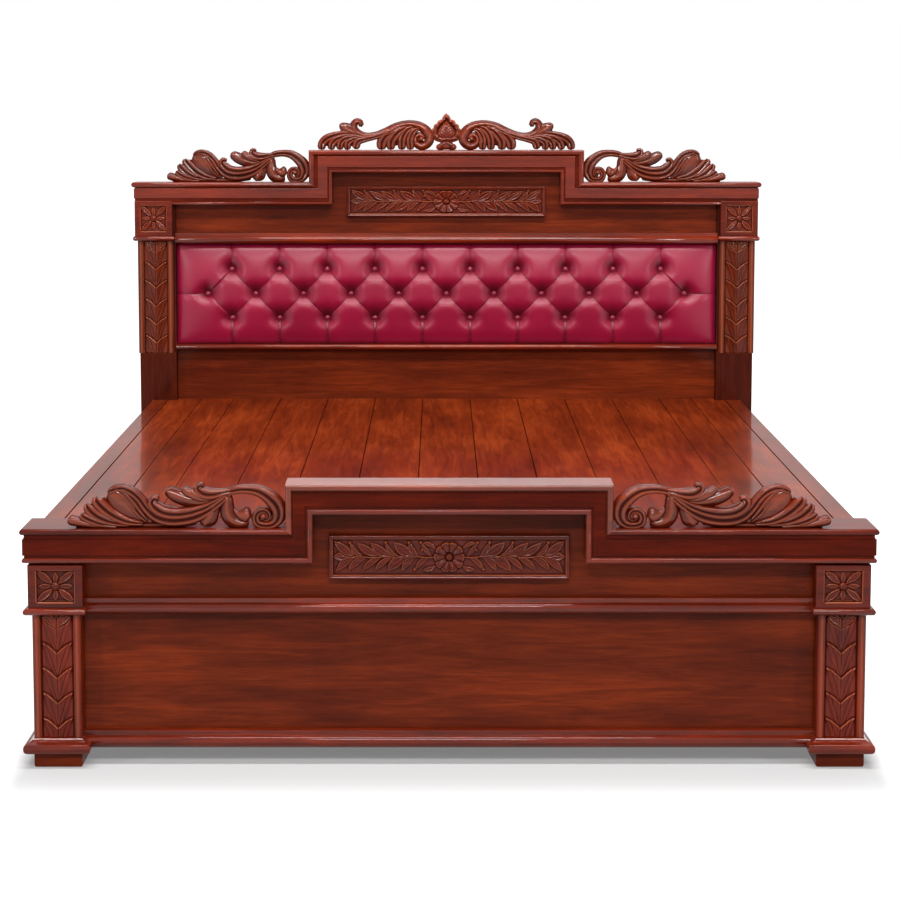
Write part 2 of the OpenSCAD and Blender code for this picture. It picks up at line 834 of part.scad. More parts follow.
// Button: a low dome whose back tapers into the pit
module button() {
    r = button_d / 2;
    taper = r * button_taper;
    rotate([90, 0, 0]) rotate_extrude() {
        polygon([[0, 0], [r, taper], [0, taper]]);
        intersection() {
            translate([0, taper - r]) circle(r = norm([r, r]));
            translate([0, taper - eps]) square([r, r]);
        }
    }
}

module leather_buttons() {
    back_y = head_backing_y - 2 * pad_clear;
    color(leather) for (row = [-1 : 1]) {
        n = row == 0 ? tuft_n : tuft_n - 1;
        z = row * tuft_z;
        for (i = [0 : n - 1]) {
            x = (i - (n - 1) / 2) * tuft_x;
            translate([x, back_y - pad_depth(x, z), pad_z + z]) button();
        }
    }
}

// Carved scrolls

// Sides per stem and per volute, and points that round an end
stem_n = 8;
volute_n = 18;
end_n = 3;
// Least width of a stem
stem_min = 1;

// Point of a cubic curve, and width along it from three widths
function cubic(p, t) =
    pow(1 - t, 3) * p[0] + 3 * pow(1 - t, 2) * t * p[1] + 3 * (1 - t) * t * t * p[2] + pow(t, 3) * p[3];
function width_at(w, t) = w[0] * (1 - t) * (1 - 2 * t) + w[1] * 4 * t * (1 - t) + w[2] * t * (2 * t - 1);
// Point of a volute: q is [centre, r0, r1, a0, a1], its radius shrinks from r0 to r1 as it turns
function polar(r, a) = r * [cos(a), sin(a)];
function volute_point(q, t) = q[0] + polar(q[1] + (q[2] - q[1]) * t, q[3] + (q[4] - q[3]) * t);
// Outline of a ribbon along the points c with the widths w and round ends
function scaled(v, k) = [v[0] * k[0], v[1] * k[1]];
function along(c, i) = c[min(i + 1, len(c) - 1)] - c[max(i - 1, 0)];
function heading(c, i) = atan2(along(c, i)[1], along(c, i)[0]);
function edge_point(c, w, i, s) = c[i] + polar(w[i] / 2, heading(c, i) + 90 * s);
function end_round(c, r, a) = [for (i = [1 : end_n]) c + polar(r, a - 180 * i / (end_n + 1))];
function ribbon_outline(c, w) = let (n = len(c) - 1) concat(
    [for (i = [0 : n]) edge_point(c, w, i, 1)],
    end_round(c[n], w[n] / 2, heading(c, n) + 90),
    [for (i = [n : -1 : 0]) edge_point(c, w, i, -1)],
    end_round(c[0], w[0] / 2, heading(c, 0) - 90)
);
function widths(w, k, inset, n) = [for (i = [0 : n]) max(stem_min, width_at(w, i / n) * k[1] - 2 * inset)];

// Outline of one stem: q is [curve, widths], k scales the drawn curve, inset narrows it
module stem(q, k, inset) {
    c = [for (i = [0 : stem_n]) scaled(cubic(q[0], i / stem_n), k)];
    polygon(ribbon_outline(c, widths(q[1], k, inset, stem_n)));
}

// Outline of a volute: q is [centre, r0, r1, a0, a1, widths]
module volute(q, k, inset) {
    c = [for (i = [0 : volute_n]) scaled(volute_point(q, i / volute_n), k)];
    polygon(ribbon_outline(c, widths(q[5], k, inset, volute_n)));
}

// Steps that round a carving's front and back: [inset, share of the thickness]
carve_steps = [[0, 0.64], [3, 1]];

// Carving of length l and height h in steps, kept above the cap and outside x0; drawn holds its drawn size
module carving(stems, volutes, drawn, l, h, t, x0) {
    k = [l / drawn[0], h / drawn[1]];
    for (c = carve_steps) upright(-t * c[1] / 2, t * c[1] / 2) offset(delta = ease) intersection() {
        union() {
            for (q = stems) stem(q, k, c[0]);
            for (q = volutes) volute(q, k, c[0]);
        }
        translate([x0 + ease, ease]) square([l, 2 * h]);
    }
}

// Side scroll as drawn: lengths run outwards from the riser, heights up from the cap
side_drawn = [523, 99];
side_stems = [
    // Main stem from the ring down and up into the shell
    [[[122, 88], [158, 70], [200, 30], [253, 21]], [12, 18, 20]],
    [[[253, 21], [296, 14], [328, 30], [345, 60]], [20, 18, 16]],
    [[[345, 60], [358, 84], [374, 92], [392, 90]], [16, 14, 12]],
    // Ring over the inner end
    [[[116, 84], [98, 96], [54, 100], [28, 70]], [16, 18, 30]],
    [[[28, 70], [16, 52], [12, 22], [36, 11]], [30, 36, 22]],
    // Inner side of the ring and the bean-shaped lobe
    [[[122, 84], [150, 64], [156, 22], [124, 14]], [14, 24, 24]],
    [[[124, 14], [104, 12], [84, 20], [92, 32]], [24, 28, 22]],
    // Hanging leaf
    [[[150, 72], [168, 52], [186, 34], [192, 12]], [8, 34, 20]],
    // Two upper leaves
    [[[126, 88], [158, 90], [184, 82], [200, 88]], [10, 22, 20]],
    [[[160, 66], [208, 54], [254, 62], [278, 84]], [10, 28, 22]],
    // Curl on the main stem
    [[[250, 22], [288, 26], [302, 44], [308, 62]], [18, 16, 20]],
    // Shell: one broad leaf and four narrow ones
    [[[412, 78], [386, 56], [348, 26], [300, 12]], [34, 48, 14]],
    [[[452, 68], [432, 42], [395, 16], [350, 8]], [20, 26, 10]],
    [[[472, 52], [455, 30], [420, 11], [388, 7]], [18, 22, 10]],
    [[[488, 32], [474, 16], [445, 7], [415, 6]], [16, 18, 10]],
    [[[510, 14], [495, 14], [472, 7], [440, 5]], [24, 18, 8]]
];

side_volutes = [[[48, 24], 14, 7, 250, -60, [18, 14, 12]]];

module side_scroll(l, h, t) {
    carving(side_stems, side_volutes, side_drawn, l, h, t, 0);
}

// Crest scroll as drawn: lengths run outwards from the middle of the bed, heights up from the cap
crest_drawn = [427, 100];
crest_stems = [
    // Arch from the volute out to the curled end
    [[[49, 38], [44, 76], [84, 100], [125, 89]], [20, 24, 26]],
    [[[125, 89], [166, 78], [194, 50], [242, 47]], [26, 20, 14]],
    [[[242, 47], [276, 46], [302, 52], [303, 78]], [14, 16, 14]],
    [[[303, 78], [303, 94], [288, 100], [284, 88]], [14, 16, 18]],
    // Leaf bud behind the curl
    [[[316, 48], [330, 58], [338, 66], [346, 76]], [20, 32, 14]],
    // Lower stem
    [[[207, 58], [240, 36], [270, 32], [300, 26]], [12, 16, 20]],
    // Drooping outer leaves
    [[[303, 43], [352, 58], [402, 44], [417, 12]], [12, 16, 20]],
    [[[293, 42], [340, 52], [368, 38], [378, 10]], [12, 18, 20]],
    [[[287, 40], [322, 46], [344, 36], [350, 10]], [12, 16, 18]],
    [[[280, 36], [304, 38], [322, 28], [326, 9]], [12, 14, 17]],
    [[[270, 32], [288, 32], [298, 22], [300, 9]], [12, 14, 17]],
    // Fronds under the arch
    [[[176, 62], [206, 54], [224, 36], [217, 11]], [10, 20, 24]],
    [[[148, 66], [178, 58], [196, 34], [187, 10]], [10, 18, 22]],
    [[[120, 74], [144, 68], [158, 40], [151, 9]], [10, 16, 18]],
    [[[92, 66], [118, 66], [128, 38], [118, 9]], [10, 16, 18]]
];

crest_volutes = [[[81, 38], 30, 7, 180, 640, [20, 16, 10]]];

module crest_scroll(s) {
    color(wood) side(s) translate([0, head_front_y + head_carving_in, head_top_z])
        carving(crest_stems, crest_volutes, crest_drawn, crest_l, crest_h, head_scroll_t, crest_start);
}

// Finial: a pointed leaf over two small lobes, drawn on its right half in shares of width and height
leaf_curves = [
    [[0.08, 0], [0.5, 0], [0.62, 0.34], [0.42, 0.58]],
    [[0.38, 0.66], [0.26, 0.84], [0.1, 0.94], [0.001, 1]]
];
lobe_curves = [
    [[0.3, 0], [0.34, 0], [0.36, 0.06], [0.36, 0.16]],
    [[0.36, 0.18], [0.34, 0.7], [0.12, 0.6], [0.05, 1]]
];
lobe_share = 0.27;
leaf_n = 7;

function curves_points(curves, k) = [for (p = curves) for (i = [0 : leaf_n]) scaled(cubic(p, i / leaf_n), k)];
function mirrored(p) = concat(p, [for (v = reversed(p)) [-v[0], v[1]]]);

module leaf_plate(curves, w, h, t) {
    upright(-t / 2, t / 2) polygon(mirrored(curves_points(curves, [w, h])));
}

module crest_finial() {
    base = finial_h * lobe_share;
    leaf_h = finial_h - base;
    t = head_scroll_t;
    color(wood) translate([0, head_front_y + head_carving_in, head_top_z]) {
        leaf_plate(lobe_curves, finial_w, base + 4, t * 4 / 5);
        translate([0, 0, base]) leaf_plate(leaf_curves, finial_w, leaf_h, t * 2 / 3);
        translate([0, 0, base + leaf_h / 12]) leaf_plate(leaf_curves, finial_w / 2, leaf_h * 3 / 4, t);
    }
}

module foot_scroll(s) {
    color(wood) side(s) translate([foot_riser_x, foot_front_y + foot_carving_in, deck_z])
        side_scroll(foot_scroll_l, foot_scroll_h, foot_scroll_t);
}

module head_scroll(s) {
    color(wood) side(s) translate([head_riser_x, head_front_y + head_carving_in, head_side_z])
        side_scroll(head_scroll_l, head_scroll_h, head_scroll_t);
}

// Rails and their fittings

// Hollow behind the slots of a post plate
module rail_mortise(y0, y1) {
    for (z = hook_zs)
        box([plate_x - hook_t, y0, z - hook_h / 2 - hook_drop - mortise_clear],
            [plate_x + hook_t, y1 + over, z + hook_h / 2 + mortise_clear]);
}

// Upright plate at the joint between a rail and a post, from y0 back to y1
module plate(y0, y1) {
    box([plate_x - plate_w / 2, y0, plate_z - plate_h / 2], [plate_x + plate_w / 2, y1, plate_z + plate_h / 2]);
}

module plate_holes(y0, y1) {
    for (z = screw_zs) translate([plate_x, y1, z]) rotate([90, 0, 0]) cylinder(d = screw_d, h = y1 - y0);
}

// Both ends of a rail at once: drawn at the foot end and mirrored to the head end
module both_ends() {
    children();
    mirror_y_at((foot_back_y + head_face_y) / 2) children();
}

module side_rail(s) {
    color(wood_light) side(s) difference() {
        box([rail_in_x, foot_back_y, rail_z], [rail_x, head_face_y, deck_z]);
        both_ends() {
            plate(foot_back_y - over, foot_back_y + plate_t);
            plate_holes(foot_back_y - over, foot_back_y + screw_l);
        }
    }
}

module rail_hook_plates() {
    y = foot_back_y;
    color(steel) for (s = [-1, 1]) side(s) both_ends() {
        difference() {
            plate(y, y + plate_t);
            plate_holes(y - over, y + plate_t + over);
        }
        for (z = hook_zs) {
            box([plate_x - hook_t / 2, y - hook_out, z - hook_h / 2],
                [plate_x + hook_t / 2, y + eps, z + hook_h / 2]);
            box([plate_x - hook_t / 2, y - hook_out, z - hook_h / 2 - hook_drop],
                [plate_x + hook_t / 2, y - plate_t - over, z]);
        }
    }
}

module post_slot_plates() {
    y = foot_back_y;
    slot = [hook_t / 2 + slot_clear, hook_h / 2 + slot_clear];
    color(steel) for (s = [-1, 1]) side(s) both_ends() difference() {
        plate(y - plate_t, y);
        for (z = hook_zs)
            box([plate_x - slot[0], y - plate_t - over, z - slot[1]],
                [plate_x + slot[0], y + over, z + slot[1]]);
        plate_holes(y - plate_t - over, y + over);
    }
}

module plate_screws() {
    y = foot_back_y;
    color(steel) for (s = [-1, 1]) side(s) both_ends() {
        plate_holes(y - screw_l + over, y);
        plate_holes(y, y + screw_l - over);
    }
}

// Deck

module ledger_cleats() {
    color(wood_dark) for (s = [-1, 1]) side(s)
        box([rail_in_x - cleat_t, foot_back_y + cleat_short, bearer_z - cleat_h],
            [rail_in_x, head_face_y - cleat_short, bearer_z]);
}

module cross_bearers() {
    y0 = foot_back_y + bearer_inset;
    span = head_face_y - bearer_inset - bearer_t - y0;
    color(wood_dark) for (i = [0 : bearers - 1]) {
        y = y0 + span * i / (bearers - 1);
        box([-rail_in_x, y, bearer_z], [rail_in_x, y + bearer_t, bearer_z + bearer_h]);
    }
}

// Deck boards: the odd number of wide ones fills what the two narrow ones on each side leave
deck_half = rail_in_x - board_gap;
wide_half = deck_half - 2 * narrow_board_w;
wide_pitch = 2 * wide_half / wide_boards;

module deck_board(x0, x1) {
    box([x0 + board_gap / 2, foot_back_y, deck_z - board_t], [x1 - board_gap / 2, head_panel_y, deck_z]);
}

module deck_boards() {
    color(wood_light) {
        for (i = [0 : wide_boards - 1]) {
            x = -wide_half + i * wide_pitch;
            deck_board(x, x + wide_pitch);
        }
        for (s = [-1, 1]) side(s) {
            deck_board(wide_half, wide_half + narrow_board_w);
            difference() {
                deck_board(deck_half - narrow_board_w, deck_half);
                box([head_in_x - over, head_face_y - over, 0], [rail_x, head_panel_y + over, deck_z + over]);
            }
        }
    }
}

module centre_beam() {
    color(wood_dark) box([-beam_t / 2, foot_back_y, beam_z], [beam_t / 2, head_panel_y, bearer_z]);
}

// Places of the centre legs along the bed
leg_ys = [for (i = [1 : legs]) foot_back_y + deck_l * i / (legs + 1)];

module centre_legs() {
    color(wood_dark) for (y = leg_ys)
        box([-leg_w / 2, y - leg_w / 2, glide_h], [leg_w / 2, y + leg_w / 2, beam_z]);
}

module leg_glides() {
    color(steel) for (y = leg_ys) translate([0, y, 0]) cylinder(d = glide_d, h = glide_h);
}

foot_post(-1);  // foot_post_left
foot_post(1);  // foot_post_right
foot_plinth(-1);  // foot_plinth_left
foot_plinth(1);  // foot_plinth_right
foot_base_mouldings();
foot_pilaster(-1);  // foot_pilaster_left
foot_pilaster(1);  // foot_pilaster_right
foot_collars();
foot_corner_block(-1);  // foot_corner_block_left
foot_corner_block(1);  // foot_corner_block_right
foot_side_caps();
foot_top_cap();
foot_fascia();
foot_bead();
foot_top_frame();
foot_frieze_panel();
foot_tablet();
foot_mid_rail();
foot_lower_panel();
foot_bottom_rail();
foot_back_board();
foot_centre_back();
foot_scroll(-1);  // foot_scroll_left
foot_scroll(1);  // foot_scroll_right
head_post(-1);  // head_post_left
head_post(1);  // head_post_right
head_pilaster(-1);  // head_pilaster_left
head_pilaster(1);  // head_pilaster_right
head_collars();
head_corner_block(-1);  // head_corner_block_left
head_corner_block(1);  // head_corner_block_right
head_side_caps();
head_top_cap();
head_fascia();
head_bead();
head_top_frame();
head_frieze_panel();
head_tablet();
head_mid_rail();
head_lip_rail();
head_lower_panel();
head_backing_board();
leather_pad();
leather_buttons();
head_scroll(-1);  // head_scroll_left
head_scroll(1);  // head_scroll_right
crest_scroll(-1);  // crest_scroll_left
crest_scroll(1);  // crest_scroll_right
crest_finial();
side_rail(-1);  // side_rail_left
side_rail(1);  // side_rail_right
rail_hook_plates();
post_slot_plates();
plate_screws();
ledger_cleats();
deck_boards();
cross_bearers();
centre_beam();
centre_legs();
leg_glides();
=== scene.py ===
"""Looks of a carved double bed with a tufted leather headboard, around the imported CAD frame."""

import math

import bmesh
import bpy
import numpy as np
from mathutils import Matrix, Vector


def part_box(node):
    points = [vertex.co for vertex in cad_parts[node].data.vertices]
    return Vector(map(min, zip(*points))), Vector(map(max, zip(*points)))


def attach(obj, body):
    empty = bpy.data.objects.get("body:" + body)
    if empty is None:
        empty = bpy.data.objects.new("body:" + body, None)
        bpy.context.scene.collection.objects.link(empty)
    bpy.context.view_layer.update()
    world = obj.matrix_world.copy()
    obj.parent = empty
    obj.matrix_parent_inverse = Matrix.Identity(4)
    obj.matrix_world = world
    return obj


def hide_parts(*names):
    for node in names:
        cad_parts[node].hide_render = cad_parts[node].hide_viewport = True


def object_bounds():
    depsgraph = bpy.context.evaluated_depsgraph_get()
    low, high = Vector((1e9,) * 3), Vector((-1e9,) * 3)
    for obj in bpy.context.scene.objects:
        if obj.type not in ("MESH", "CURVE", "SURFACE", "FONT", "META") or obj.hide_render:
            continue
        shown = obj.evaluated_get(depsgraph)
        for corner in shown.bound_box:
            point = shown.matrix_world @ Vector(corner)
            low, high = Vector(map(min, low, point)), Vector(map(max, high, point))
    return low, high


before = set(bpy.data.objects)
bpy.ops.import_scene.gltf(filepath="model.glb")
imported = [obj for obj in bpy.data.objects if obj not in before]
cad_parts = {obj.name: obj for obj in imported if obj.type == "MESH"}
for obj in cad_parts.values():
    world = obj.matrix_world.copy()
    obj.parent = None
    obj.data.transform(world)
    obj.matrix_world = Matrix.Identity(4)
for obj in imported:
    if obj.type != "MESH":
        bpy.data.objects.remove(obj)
cad_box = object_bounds()
MM = 0.001

# ------ camera

LENS, SENSOR = 85.19, 36  # mm
SHIFT_X, SHIFT_Y = 0.0122, -0.17
CAMERA_AT = (-0.0242, -6.0245, 1.6102)
LOOKS_DOWN = 5.572  # degrees


def link(obj):
    bpy.context.scene.collection.objects.link(obj)
    return obj


def make_camera():
    data = bpy.data.cameras.new("camera")
    data.lens, data.sensor_width = LENS, SENSOR
    data.shift_x, data.shift_y = SHIFT_X, SHIFT_Y
    cam = link(bpy.data.objects.new("camera", data))
    cam.location = CAMERA_AT
    cam.rotation_euler = (math.radians(90 - LOOKS_DOWN), 0, 0)
    bpy.context.scene.camera = cam


make_camera()

# ------ node helpers


class Nodes:
    """Short forms for the node tree of a new material, or of a given world."""

    def __init__(self, owner):
        self.owner = bpy.data.materials.new(owner) if isinstance(owner, str) else owner
        self.owner.use_nodes = True
        self.tree = self.owner.node_tree

    def add(self, kind, **settings):
        node = self.tree.nodes.new(kind)
        for key, value in settings.items():
            setattr(node, key, value)
        return node

    def feed(self, socket, value):
        """Links an output to the socket, or sets the socket's own value."""
        if hasattr(value, "is_output"):
            self.tree.links.new(value, socket)
        else:
            socket.default_value = value

    def fill(self, node, values):
        """Feeds inputs of a node, each given by its name or number."""
        for key, value in values.items():
            self.feed(node.inputs[key], value)

    def surface(self, values):
        self.fill(self.tree.nodes["Principled BSDF"], values)

    def math(self, op, a, b=None):
        n = self.add("ShaderNodeMath", operation=op)
        self.fill(n, {0: a} if b is None else {0: a, 1: b})
        return n.outputs[0]

    def place(self):
        return self.add("ShaderNodeTexCoord").outputs["Object"]

    def stretched(self, vector, scale, location):
        n = self.add("ShaderNodeMapping")
        self.fill(n, {"Vector": vector, "Scale": scale, "Location": location})
        return n.outputs[0]

    def noise(self, vector, scale, detail, rough=0.5, distortion=0.0):
        n = self.add("ShaderNodeTexNoise")
        self.fill(n, {"Vector": vector, "Scale": scale, "Detail": detail, "Roughness": rough,
                      "Distortion": distortion})
        return n.outputs["Fac"]

    def ramp(self, fac, places, colours):
        n = self.add("ShaderNodeValToRGB")
        while len(n.color_ramp.elements) < len(places):
            n.color_ramp.elements.new(0.5)
        for element, place, colour in zip(n.color_ramp.elements, places, colours):
            element.position, element.color = place, (*colour, 1)
        self.feed(n.inputs[0], fac)
        return n.outputs[0]

    def mix(self, fac, a, b, blend="MIX"):
        n = self.add("ShaderNodeMix", data_type="RGBA", blend_type=blend)
        self.fill(n, {i: (*v, 1) if isinstance(v, tuple) else v for i, v in ((0, fac), (6, a), (7, b))})
        return n.outputs[2]

    def times(self, colour, factors):
        return self.mix(1.0, colour, factors, "MULTIPLY")

    def spread(self, value, lo, hi, to_lo=0.0, to_hi=1.0):
        """Maps lo to hi onto to_lo to to_hi, and clamps."""
        n = self.add("ShaderNodeMapRange")
        self.fill(n, dict(enumerate((value, lo, hi, to_lo, to_hi))))
        return n.outputs[0]

    def bump(self, height, strength, distance):
        n = self.add("ShaderNodeBump")
        self.fill(n, {"Strength": strength, "Distance": distance, "Height": height})
        return n.outputs[0]

    def edge_wear_and_highlight(self, radius=0.0022, most=0.3):
        """Up to the given share along the edges: partly wear where lacquer rubs thin, partly a painted highlight."""
        rounded = self.add("ShaderNodeBevel", samples=4)
        self.fill(rounded, {"Radius": radius})
        turn = self.add("ShaderNodeVectorMath", operation="DOT_PRODUCT")
        self.fill(turn, {0: rounded.outputs[0], 1: self.add("ShaderNodeNewGeometry").outputs["Normal"]})
        return self.spread(turn.outputs["Value"], 0.97, 0.8, 0.0, most)

    def attribute(self, name):
        return self.add("ShaderNodeAttribute", attribute_name=name).outputs["Fac"]

    def plain_rays(self):
        """1 for camera, glossy and transmission rays, which see the stage as plain white."""
        path = self.add("ShaderNodeLightPath")
        seen = self.math("MAXIMUM", path.outputs["Is Camera Ray"], path.outputs["Is Glossy Ray"])
        return self.math("MAXIMUM", seen, path.outputs["Is Transmission Ray"])


# ------ wood, metal and plastic


def srgb(r, g, b):
    """Colour as seen in the picture, 0 to 255, in linear values."""
    return tuple(v / 255 / 12.92 if v / 255 <= 0.04045 else ((v / 255 + 0.055) / 1.055) ** 2.4 for v in (r, g, b))


# Share of the frequency along and across the grain, by the axis of the grain
GRAIN = {"x": (1.0, 13, 13), "y": (13, 1.0, 13), "z": (13, 13, 1.0)}
# Colour of the painted highlight on carved rims, and of edges that are partly worn and partly a painted highlight
RIM_HIGHLIGHT, WEAR_AND_HIGHLIGHT = srgb(196, 106, 68), srgb(168, 78, 42)
# Darkening of the grain's fibres, and the painted shade in carved cuts
FIBRE_SHADE, CUT_SHADE = (0.55, 0.45, 0.45), (0.2, 0.1, 0.08)
# Noise of the wood: scale, detail, roughness and distortion; and where on it the three tones lie
CLOUD, STREAK, FIBRE, WAVE = (2.1, 3, 0.55), (3.4, 6, 0.66, 0.9), (15, 5, 0.65, 0.4), (9, 2)
TONE_STOPS = (0.36, 0.5, 0.65)


def wood_material(name, grain, tones, coat, coat_ior=1.16, coat_rough=0.06, rough=0.42, carved=False, seed=0.0):
    """Lacquered wood from its dark, middle and light tone, 0 to 255.

    Carved wood gets painted shade in its cuts and a painted highlight on its rims from the mesh, and less coat under
    the painted shade; other wood is lighter at its edges, partly wear and partly a painted highlight.
    """
    n = Nodes(name)
    base = n.place()
    along = n.stretched(base, GRAIN[grain], (seed, seed * 1.7, seed * 0.6))
    broad = n.stretched(base, tuple(1 + (s - 1) * 0.2 for s in GRAIN[grain]), (seed, 3, 1))
    cloud, streak, fibre = n.noise(broad, *CLOUD), n.noise(along, *STREAK), n.noise(along, *FIBRE)
    tone = n.math("ADD", n.math("MULTIPLY", cloud, 0.5), n.math("MULTIPLY", streak, 0.5))
    colour = n.ramp(tone, TONE_STOPS, [srgb(*t) for t in tones])
    colour = n.mix(n.spread(fibre, 0.38, 0.62, 0.0, 0.45), colour, n.times(colour, FIBRE_SHADE))
    if carved:
        # Painted shade in the cuts and a painted highlight on the rims, from the mesh's attributes; the coat thins
        # under the painted shade, so shade is painted into the reflection as well
        depth = n.attribute("painted_shading")
        colour = n.mix(depth, colour, n.times(colour, CUT_SHADE))
        colour = n.mix(n.attribute("rim"), colour, RIM_HIGHLIGHT)
        coat = n.spread(depth, 0.0, 0.7, coat, 0.15 * coat)
    else:
        # Edges lighter: partly wear, partly a painted highlight
        colour = n.mix(n.edge_wear_and_highlight(), colour, WEAR_AND_HIGHLIGHT)
    wave = n.math("ADD", n.math("MULTIPLY", fibre, 0.1), n.noise(base, *WAVE))
    n.surface({"Base Color": colour, "Roughness": n.spread(streak, 0.3, 0.7, rough - 0.05, rough + 0.06),
               "Specular IOR Level": 0.03, "Coat Weight": coat, "Coat Roughness": coat_rough, "Coat IOR": coat_ior,
               "Normal": n.bump(wave, 0.1, 0.002)})
    return n.owner


def plain_material(name, colour, rough, metal=0.0):
    n = Nodes(name)
    fine = n.noise(n.place(), 60, 3)
    n.surface({"Base Color": n.mix(n.spread(fine, 0.3, 0.7), colour, tuple(c * 0.75 for c in colour)),
               "Roughness": n.spread(fine, 0.3, 0.7, rough, rough + 0.12), "Metallic": metal})
    return n.owner


MAHOGANY = (78, 25, 10), (101, 35, 13), (130, 48, 18)
WOODS = {g: wood_material("mahogany_" + g, g, MAHOGANY, coat=0.6) for g in "xz"}
RAIL = wood_material("rail_mahogany", "y", MAHOGANY, coat=0.55)
FASCIA = wood_material("fascia_mahogany", "x", ((60, 13, 4), (82, 19, 5), (106, 28, 8)), coat=0.4, seed=5.0)
POST = wood_material("post_mahogany", "z", ((46, 13, 6), (62, 18, 8), (82, 26, 10)), coat=0.3, seed=6.0)
MOULD = wood_material("moulding_mahogany", "x", ((82, 20, 5), (108, 29, 7), (138, 42, 11)),
                      coat=0.8, coat_ior=1.4, coat_rough=0.04, seed=2.0)
LEDGE = wood_material("ledge_mahogany", "x", ((68, 16, 5), (88, 22, 6), (114, 33, 9)),
                      coat=0.42, coat_ior=1.4, seed=3.0)
TOP_LEDGE = wood_material("top_ledge_mahogany", "x", MAHOGANY, coat=1.0, coat_ior=1.45, coat_rough=0.3, seed=4.0)
CARVED = {
    name: wood_material(name + "_mahogany", grain, tones, coat=0.5, coat_ior=1.37, coat_rough=0.05, carved=True)
    for name, grain, tones in (("block", "x", ((66, 14, 3), (92, 22, 5), (118, 35, 9))),
                               ("foot_pilaster", "z", ((80, 18, 4), (112, 28, 6), (140, 42, 10))),
                               ("head_pilaster", "z", ((66, 18, 5), (92, 28, 8), (118, 42, 13))))}
OPEN_CARVED = wood_material("scroll_mahogany", "x", ((68, 16, 5), (98, 28, 8), (128, 42, 12)),
                            coat=0.65, coat_ior=1.44, coat_rough=0.05, carved=True, seed=7.0)
DECK = wood_material("deck_mahogany", "y", ((82, 24, 6), (112, 38, 10), (144, 57, 21)), coat=0.48, coat_rough=0.1)
INNER = wood_material("inner_wood", "x", ((84, 44, 30), (110, 62, 42), (136, 84, 58)), coat=0.2, rough=0.5)
ZINC = plain_material("zinc", (0.55, 0.56, 0.58), 0.32, 1.0)
GLIDE = plain_material("glide", (0.03, 0.03, 0.03), 0.5)

# ------ CAD nodes that stay

METAL_NODES = ("rail_hook_plates", "post_slot_plates", "plate_screws")
SHARP_NODES = METAL_NODES + ("leg_glides", "leather_pad", "leather_buttons")
NODE_MATERIALS = {
    "deck_boards": DECK, "foot_top_cap": TOP_LEDGE, "foot_side_caps": LEDGE, "foot_fascia": FASCIA, "leg_glides": GLIDE,
    **dict.fromkeys(METAL_NODES, ZINC),
    **dict.fromkeys(("ledger_cleats", "cross_bearers", "centre_beam", "centre_legs"), INNER),
    **dict.fromkeys(("foot_bead", "head_bead", "foot_mid_rail", "head_mid_rail", "foot_bottom_rail", "head_lip_rail",
                     "foot_collars", "head_collars", "head_fascia", "head_side_caps", "head_top_cap"), MOULD)}
for side in ("left", "right"):
    NODE_MATERIALS.update({"foot_post_" + side: WOODS["z"], "head_post_" + side: POST, "side_rail_" + side: RAIL})

# Width and steps of a rounded edge, the angle from which an edge is rounded, and the welding distance
CAP_EDGE, EDGE = (0.0045, 4), (0.0016, 2)
EDGE_ANGLE, WELD = math.radians(40), 0.00005

for node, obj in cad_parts.items():
    obj.data.materials.clear()
    obj.data.materials.append(NODE_MATERIALS.get(node, WOODS["x"]))
    if node in SHARP_NODES or "scroll" in node or "finial" in node:
        continue
    weld = obj.modifiers.new("weld", "WELD")
    weld.merge_threshold = WELD
    bevel = obj.modifiers.new("bevel", "BEVEL")
    bevel.width, bevel.segments = CAP_EDGE if "_cap" in node else EDGE
    bevel.limit_method = "ANGLE"
    bevel.angle_limit = EDGE_ANGLE
    bevel.harden_normals = True

# ------ mesh helpers


def mesh_object(name, verts, faces, material, smooth=True, painted_shading=None, rim=None):
    mesh = bpy.data.meshes.new(name)
    mesh.from_pydata([tuple(v) for v in verts], [], faces)
    mesh.update()
    bm = bmesh.new()
    bm.from_mesh(mesh)
    bmesh.ops.recalc_face_normals(bm, faces=bm.faces)
    bm.to_mesh(mesh)
    bm.free()
    if smooth:
        mesh.polygons.foreach_set("use_smooth", [True] * len(mesh.polygons))
    for key, values in (("painted_shading", painted_shading), ("rim", rim)):
        if values is not None:
            layer = mesh.attributes.new(key, "FLOAT", "POINT")
            layer.data.foreach_set("value", np.asarray(values, np.float32))
    mesh.materials.append(material)
    obj = link(bpy.data.objects.new(name, mesh))
    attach(obj, "root")
    return obj


def band(a, b, n):
    """Quads between two closed rings of n points, which start at a and b."""
    return [(a + j, a + (j + 1) % n, b + (j + 1) % n, b + j) for j in range(n)]


def fan(tip, a, n):
    """Triangles from a point to the closed ring of n points that starts at a."""
    return [(tip, a + j, a + (j + 1) % n) for j in range(n)]


def carved_object(name, parts, node):
    """One openwork carving from parts: their points, faces and painted shading, which is painted shade above 0 in cuts
    and a painted highlight below 0 on rims.
    """
    faces, base = [], 0
    for v, f, _ in parts:
        faces += [tuple(i + base for i in q) for q in f]
        base += len(v)
    painted_shading = np.concatenate([c for _, _, c in parts])
    obj = mesh_object(name, np.vstack([v for v, _, _ in parts]), faces, OPEN_CARVED,
                      painted_shading=np.maximum(painted_shading, 0), rim=np.maximum(-painted_shading, 0))
    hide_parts(node)


